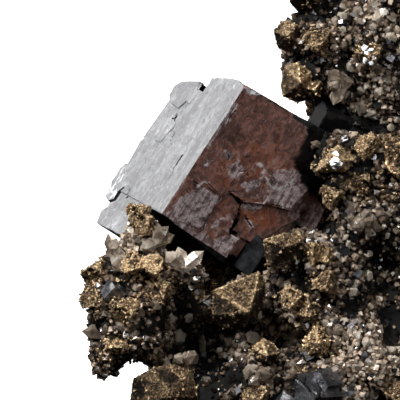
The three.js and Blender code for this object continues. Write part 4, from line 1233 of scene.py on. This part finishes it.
def sighted(tree, u, v):
    """Where the line of sight through a point of the frame meets a tree, or None."""
    return tree.ray_cast(Vector(CAMERA_AT), Vector(ray(u, v)))[0]


def glints(tree):
    """Plates that lean halfway between the camera and the key light, painted white as a highlight."""
    stream = np.random.default_rng(23)
    to_camera, to_key = (Vector(place).normalized() for place in (CAMERA_AT, KEY_AT))
    way = np.array((to_camera + to_key).normalized())
    feet = []
    for u, v, reach, count in GLINT_ONES:
        for du, dv in stream.normal(0, reach / 2, (count, 2)):
            hit = sighted(tree, u + du, v + 1.2 * dv)
            if hit is not None:
                feet.append(np.array(hit) - 0.3 * way)
    sizes = stream.uniform(0.35, 0.9, (len(feet), 3)) * (1, 1, 0) + (0, 0, 0.62)
    axes = frames(way + stream.normal(0, 0.13, (len(feet), 3)), stream.uniform(0, 6, len(feet)))
    mesh = many(cube_form(), np.array(feet), axes, sizes, stream, 0.25)
    # painted highlight
    paint(mesh, "flake_highlight", 1)
    add_piece("glint_cleavages", mesh, LEAD)


def placed_one_by_one(rock_mesh):
    """Crystals that the line of sight puts on the rock, each sunk so far that only its height stands out."""
    ground = tree_of(rock_mesh)
    stream = np.random.default_rng(19)
    for slot, ones, form, material, long in (
        ("quartz", QUARTZ_ONES, quartz_form(0.42), CLEAR, 2.2),
        ("chalcopyrite", BRASS_ONES, sphenoid_form(0.24), BRASS, 1.8),
        ("galena", LEAD_ONES, cube_form(), LEAD, 1.6),
    ):
        feet, ways, sizes = [], [], []
        for u, v, radius, height, *toward in ones:
            hit = sighted(ground, u, v)
            if hit is None:
                continue
            way = turned(np.array(toward) / np.linalg.norm(toward))
            whole = max(radius * long, height + 0.6)
            feet.append(np.array(hit) + way * (height - whole))
            ways.append(way)
            sizes.append((radius, radius * stream.uniform(0.8, 1.1), whole))
        axes = frames(np.array(ways), stream.uniform(0, 2 * math.pi, len(ways)))
        mesh = many(form, np.array(feet), axes, np.array(sizes))
        for name, value in (("rim_and_highlight", 0.3), ("pit_and_shade", 0), ("dark", 0.5)):
            paint(mesh, name, value)
        paint(mesh, "tint", np.repeat(stream.uniform(0.6, 1.0, len(ways)), len(form[0])))
        add_piece(slot + "_crystals", mesh, material)


# ---------------------------------------------------------------- druse

CELL = 1.0  # width of the boxes that scatter() sorts its points into
STEPS = {span: list(product(range(-span, span + 1), repeat=3)) for span in (1, 2)}
# The layers of the druse: seed, tries on each face of the rock, spacing and what brass and darkness add to it, share
# of the places that are taken, size (middle and spread of its logarithm, least, most), height by size, and how far
# the tips stand out.
LAYERS = {
    "large": (
        101, 1, (1.6, 0, 0.5), lambda brass, dark: (0.85 - 0.75 * brass) * (1 - 0.85 * dark),
        (-0.05, 0.22, 0.7, 1.4), (1.5, 2.4), (-0.15, 0.4),
    ),
    "small": (
        103, 2, (0.64, 0, 0.46), lambda brass, dark: (1 - 0.8 * brass) * (1 - 0.6 * dark),
        (-0.66, 0.30, 0.3, 0.85), (1.5, 2.6), (-0.55, 0.3),
    ),
    "crust": (
        107, 3, (0.56, 0, 0.3), lambda brass, dark: 0.04 + 1.1 * smooth(0.15, 0.5, brass),
        (-0.95, 0.30, 0.25, 0.75), (1.6, 2.2), (-0.45, 0.3),
    ),
    "lead": (
        109, 1, (3.2, 0, 0), lambda brass, dark: 0.5 - 0.3 * brass,
        (-0.4, 0.3, 0.45, 1.0), (1.2, 1.8), (-0.5, 0.2),
    ),
    "sides": (
        127, 1, (6.0, -2.4, 0), lambda brass, dark: 0.4 + brass,
        (0.62, 0.3, 1.2, 3.0), (1.2, 1.6), (0.3, 1.3),
    ),
    "points": (
        131, 1, (3.2, 0, 1.5), lambda brass, dark: 0.85 - 0.7 * brass,
        (0.42, 0.28, 1.0, 2.4), (1.5, 2.2), (0.1, 1.0),
    ),
}  # fmt: skip


def scatter(mesh, spacing_of, seed, tries=1, wander=0.1):
    """Spreads points over a mesh, each as far from the rest as spacing_of says there."""
    stream = np.random.default_rng(seed)
    middles = np.repeat(read(mesh.polygons, "center") / MM, tries, axis=0)
    normals = np.repeat(read(mesh.polygons, "normal"), tries, axis=0)
    stray = stream.uniform(-wander, wander, middles.shape)
    middles = middles + stray - normals * np.sum(stray * normals, 1)[:, None]
    order = stream.permutation(len(middles))
    spacing = spacing_of(middles)
    taken, kept = {}, []
    for i in order:
        gap = spacing[i]
        if gap <= 0 or middles[i][2] < BASE:
            continue
        x, y, z = middles[i].tolist()
        a, b, c = home = int(x // CELL), int(y // CELL), int(z // CELL)
        for da, db, dc in STEPS[1 if gap <= CELL else 2]:
            near = taken.get((a + da, b + db, c + dc), ())
            if near and any((px - x) ** 2 + (py - y) ** 2 + (pz - z) ** 2 < gap * gap for px, py, pz in near):
                break
        else:
            taken.setdefault(home, []).append((x, y, z))
            kept.append(i)
    return middles[kept], normals[kept]


def chosen(found, mask):
    """Some of a layer's crystals. The layer's stream of random numbers comes first and stays with them."""
    stream, *columns = found
    return stream, *(column[mask] for column in columns)


def standing(form, found):
    """One mesh of a form at each place of a layer."""
    stream, bottom, ways, radius, height, _ = found
    axes = frames(ways, stream.uniform(0, 6, len(radius)))
    return many(form, bottom, axes, np.stack([radius, radius, height], 1))


def grains(name, form, material, found, uneven, brightness, limit=MESH_LIMIT):
    """The quartz of a layer, with painted shade towards its feet and in the dark hollows of the druse."""
    stream, bottom, ways, radius, height, dark = found
    count = len(bottom)
    wide = radius[:, None] * stream.uniform(0.75, 1.25, (count, 2))
    axes = frames(ways, stream.uniform(0, 2 * math.pi, count))
    # painted shade: less tint in the dark hollows, and less towards each grain's foot
    tint = brightness + 0.3 * layered(bottom, 4, 103, 2) + stream.normal(0, 0.29, count) - 0.6 * dark
    tint = np.clip(tint + 0.45 * kinds(bottom)[2], 0, 1.1)
    tint = tint[:, None] * np.clip(0.25 + 0.75 * form[0][:, 2], 0, 1)
    sizes = np.concatenate([wide, height[:, None]], 1)
    in_meshes(name, form, bottom, axes, sizes, tint, stream, uneven, material, limit)


SIDE_VOXEL = 0.4
SIDE_DEPTH = 9  # in the slab frame: crystals deeper than this can't be seen from the camera


def druse(rock_mesh, tree):
    """The crust of small crystals all over the rock, layer by layer."""

    def layer(seed, tries, spacing, share, size, tall, out):
        """A layer's stream, feet, ways, radii, heights and darkness, without crystals that would run into the CAD's."""
        stream = np.random.default_rng(seed)

        def spacing_of(places):
            brass, dark, _ = kinds(places)
            return (spacing[0] + spacing[1] * brass + spacing[2] * dark) * (1 + 0.3 * noise(places, 5, 89))

        feet, normals = scatter(rock_mesh, spacing_of, seed, tries, 0.4)
        brass, dark, _ = kinds(feet)
        _, feet, normals, dark = chosen((stream, feet, normals, dark), stream.random(len(feet)) < share(brass, dark))
        radius = np.clip(np.exp(stream.normal(*size[:2], len(feet))), *size[2:]) * (1 - 0.2 * dark)
        height = radius * stream.uniform(*tall, len(feet))
        ways = normals + stream.normal(0, 0.42, normals.shape)
        ways /= np.linalg.norm(ways, axis=1, keepdims=True)
        lump = 0.45 * layered(feet, 2.6, seed + 1, 2)
        reach = np.minimum(ROCK_SHRINK + stream.uniform(*out, len(feet)) + lump - 0.5 * dark, 0.85 * height + 0.1)
        bottom, tips = feet + ways * (reach - height)[:, None], feet + ways * reach[:, None]
        clear = nearest_crystal(tree, tips) > 0.12
        clear &= nearest_crystal(tree, tips * 0.5 + feet * 0.5) > 0.05
        clear &= (bottom[:, 2] > radius * 0.6 + 0.3) & (tips[:, 2] > 0.4)
        return chosen((stream, bottom, ways, radius, height, dark), clear)

    def behind(found):
        """Those of a layer that the camera's side doesn't show, where no crystals are placed one by one."""
        return chosen(found, to_slab(found[1])[:, 1] > SIDE_DEPTH)

    found = {name: layer(*how) for name, how in LAYERS.items()}
    placed_one_by_one(rock_mesh)
    glints(tree)

    mesh = remeshed(standing(sphenoid_form(0.2), behind(found["sides"])), SIDE_VOXEL)
    places = corners_of(mesh)
    relief = 0.3 * (grains_height(places, 1.5, 43) - 0.5) + 0.15 * grains_height(places, 0.6, 47)
    paint(mesh, "rim_and_highlight", 0.5 + 0.5 * noise(swell(mesh, relief), 1.2, 53))
    add_piece("chalcopyrite_side_crystals", mesh, BRASS)

    grains("druse_quartz_points", quartz_form(0.5), CLEAR, behind(found["points"]), 0.0, 0.55, MESH_LIMIT // 2)
    grains("druse_large_quartz", quartz_form(0.5), CLEAR, found["large"], 0.0, 0.56, MESH_LIMIT // 2)
    small = found["small"]
    blocky = np.random.default_rng(3).random(len(small[1])) < 0.4
    for name, form, mask in (("druse_quartz", grain_form(), ~blocky), ("druse_broken_quartz", cube_form(), blocky)):
        grains(name, form, QUARTZ, chosen(small, mask), 0.16, 0.43)
    stream, bottom, ways, radius, _, _ = found["crust"]
    chips("druse_chalcopyrite", bottom, ways, radius, stream)
    mesh = standing(cube_form(), found["lead"])
    stream, bottom, *_ = found["lead"]
    paint(mesh, "dark", np.repeat(stream.uniform(0, 1, len(bottom)), 8))
    add_piece("druse_galena", mesh, LEAD)


# ---------------------------------------------------------------- light and floor


def area_light(name, place, target, size, power):
    lamp = bpy.data.lights.new(name, "AREA")
    lamp.shape, lamp.size, lamp.energy = "DISK", size, power
    held = placed(name, lamp)
    held.visible_camera = False
    aim(held, Vector(place), Vector(target) - Vector(place))


def studio():
    middle = (0.0, 0.0, 0.05)
    area_light("key", KEY_AT, middle, 0.30, 12)
    area_light("fill", (0.42, -0.62, 0.56), middle, 0.5, 3.0)
    area_light("back", (0.35, 0.6, 0.55), middle, 0.5, 7)
    area_light("panel", (-0.62, 0.66, 0.33), (-0.02, 0.0, 0.06), 0.8, 1.3)

    # a backdrop of even strength for the camera, and for the crystals a sky that is dark low down
    s = Shader(bpy.data.worlds.new("studio"))
    bpy.context.scene.world = s.holder
    height = s.add("SeparateXYZ", "Z", {0: s.add("TexCoord", "Generated")})
    sky = s.add("MapRange", inputs={"Value": height, "From Min": -0.2, "From Max": 0.9, "To Min": 0.02, "To Max": 0.42})
    s.finish("Background", Strength=s.blend(s.add("LightPath", "Is Camera Ray"), sky, 1.0))

    s = new_material("floor_white")
    white = s.mix(s.noise(30, 2), (0.93, 0.93, 0.93), (0.95, 0.95, 0.95))
    glow = {"Emission_Color": (1, 1, 1), "Emission_Strength": 0.6}
    half = 4.0
    ground = bpy.data.meshes.new("floor")
    ground.from_pydata([(-half, -half, 0), (half, -half, 0), (half, half, 0), (-half, half, 0)], [], [(0, 1, 2, 3)])
    ground.materials.append(s.finish(Base_Color=white, Roughness=0.9, Specular_IOR_Level=0.0, **glow))
    floor = placed("floor", ground)
    floor.visible_diffuse = floor.visible_glossy = floor.visible_transmission = False
    bpy.context.scene.view_settings.view_transform = "Standard"


crystals = crystal_tree()
large_cube()
small_cubes()
brass_crystals()
quartz_sprays()
druse(rock(crystals), crystals)
studio()
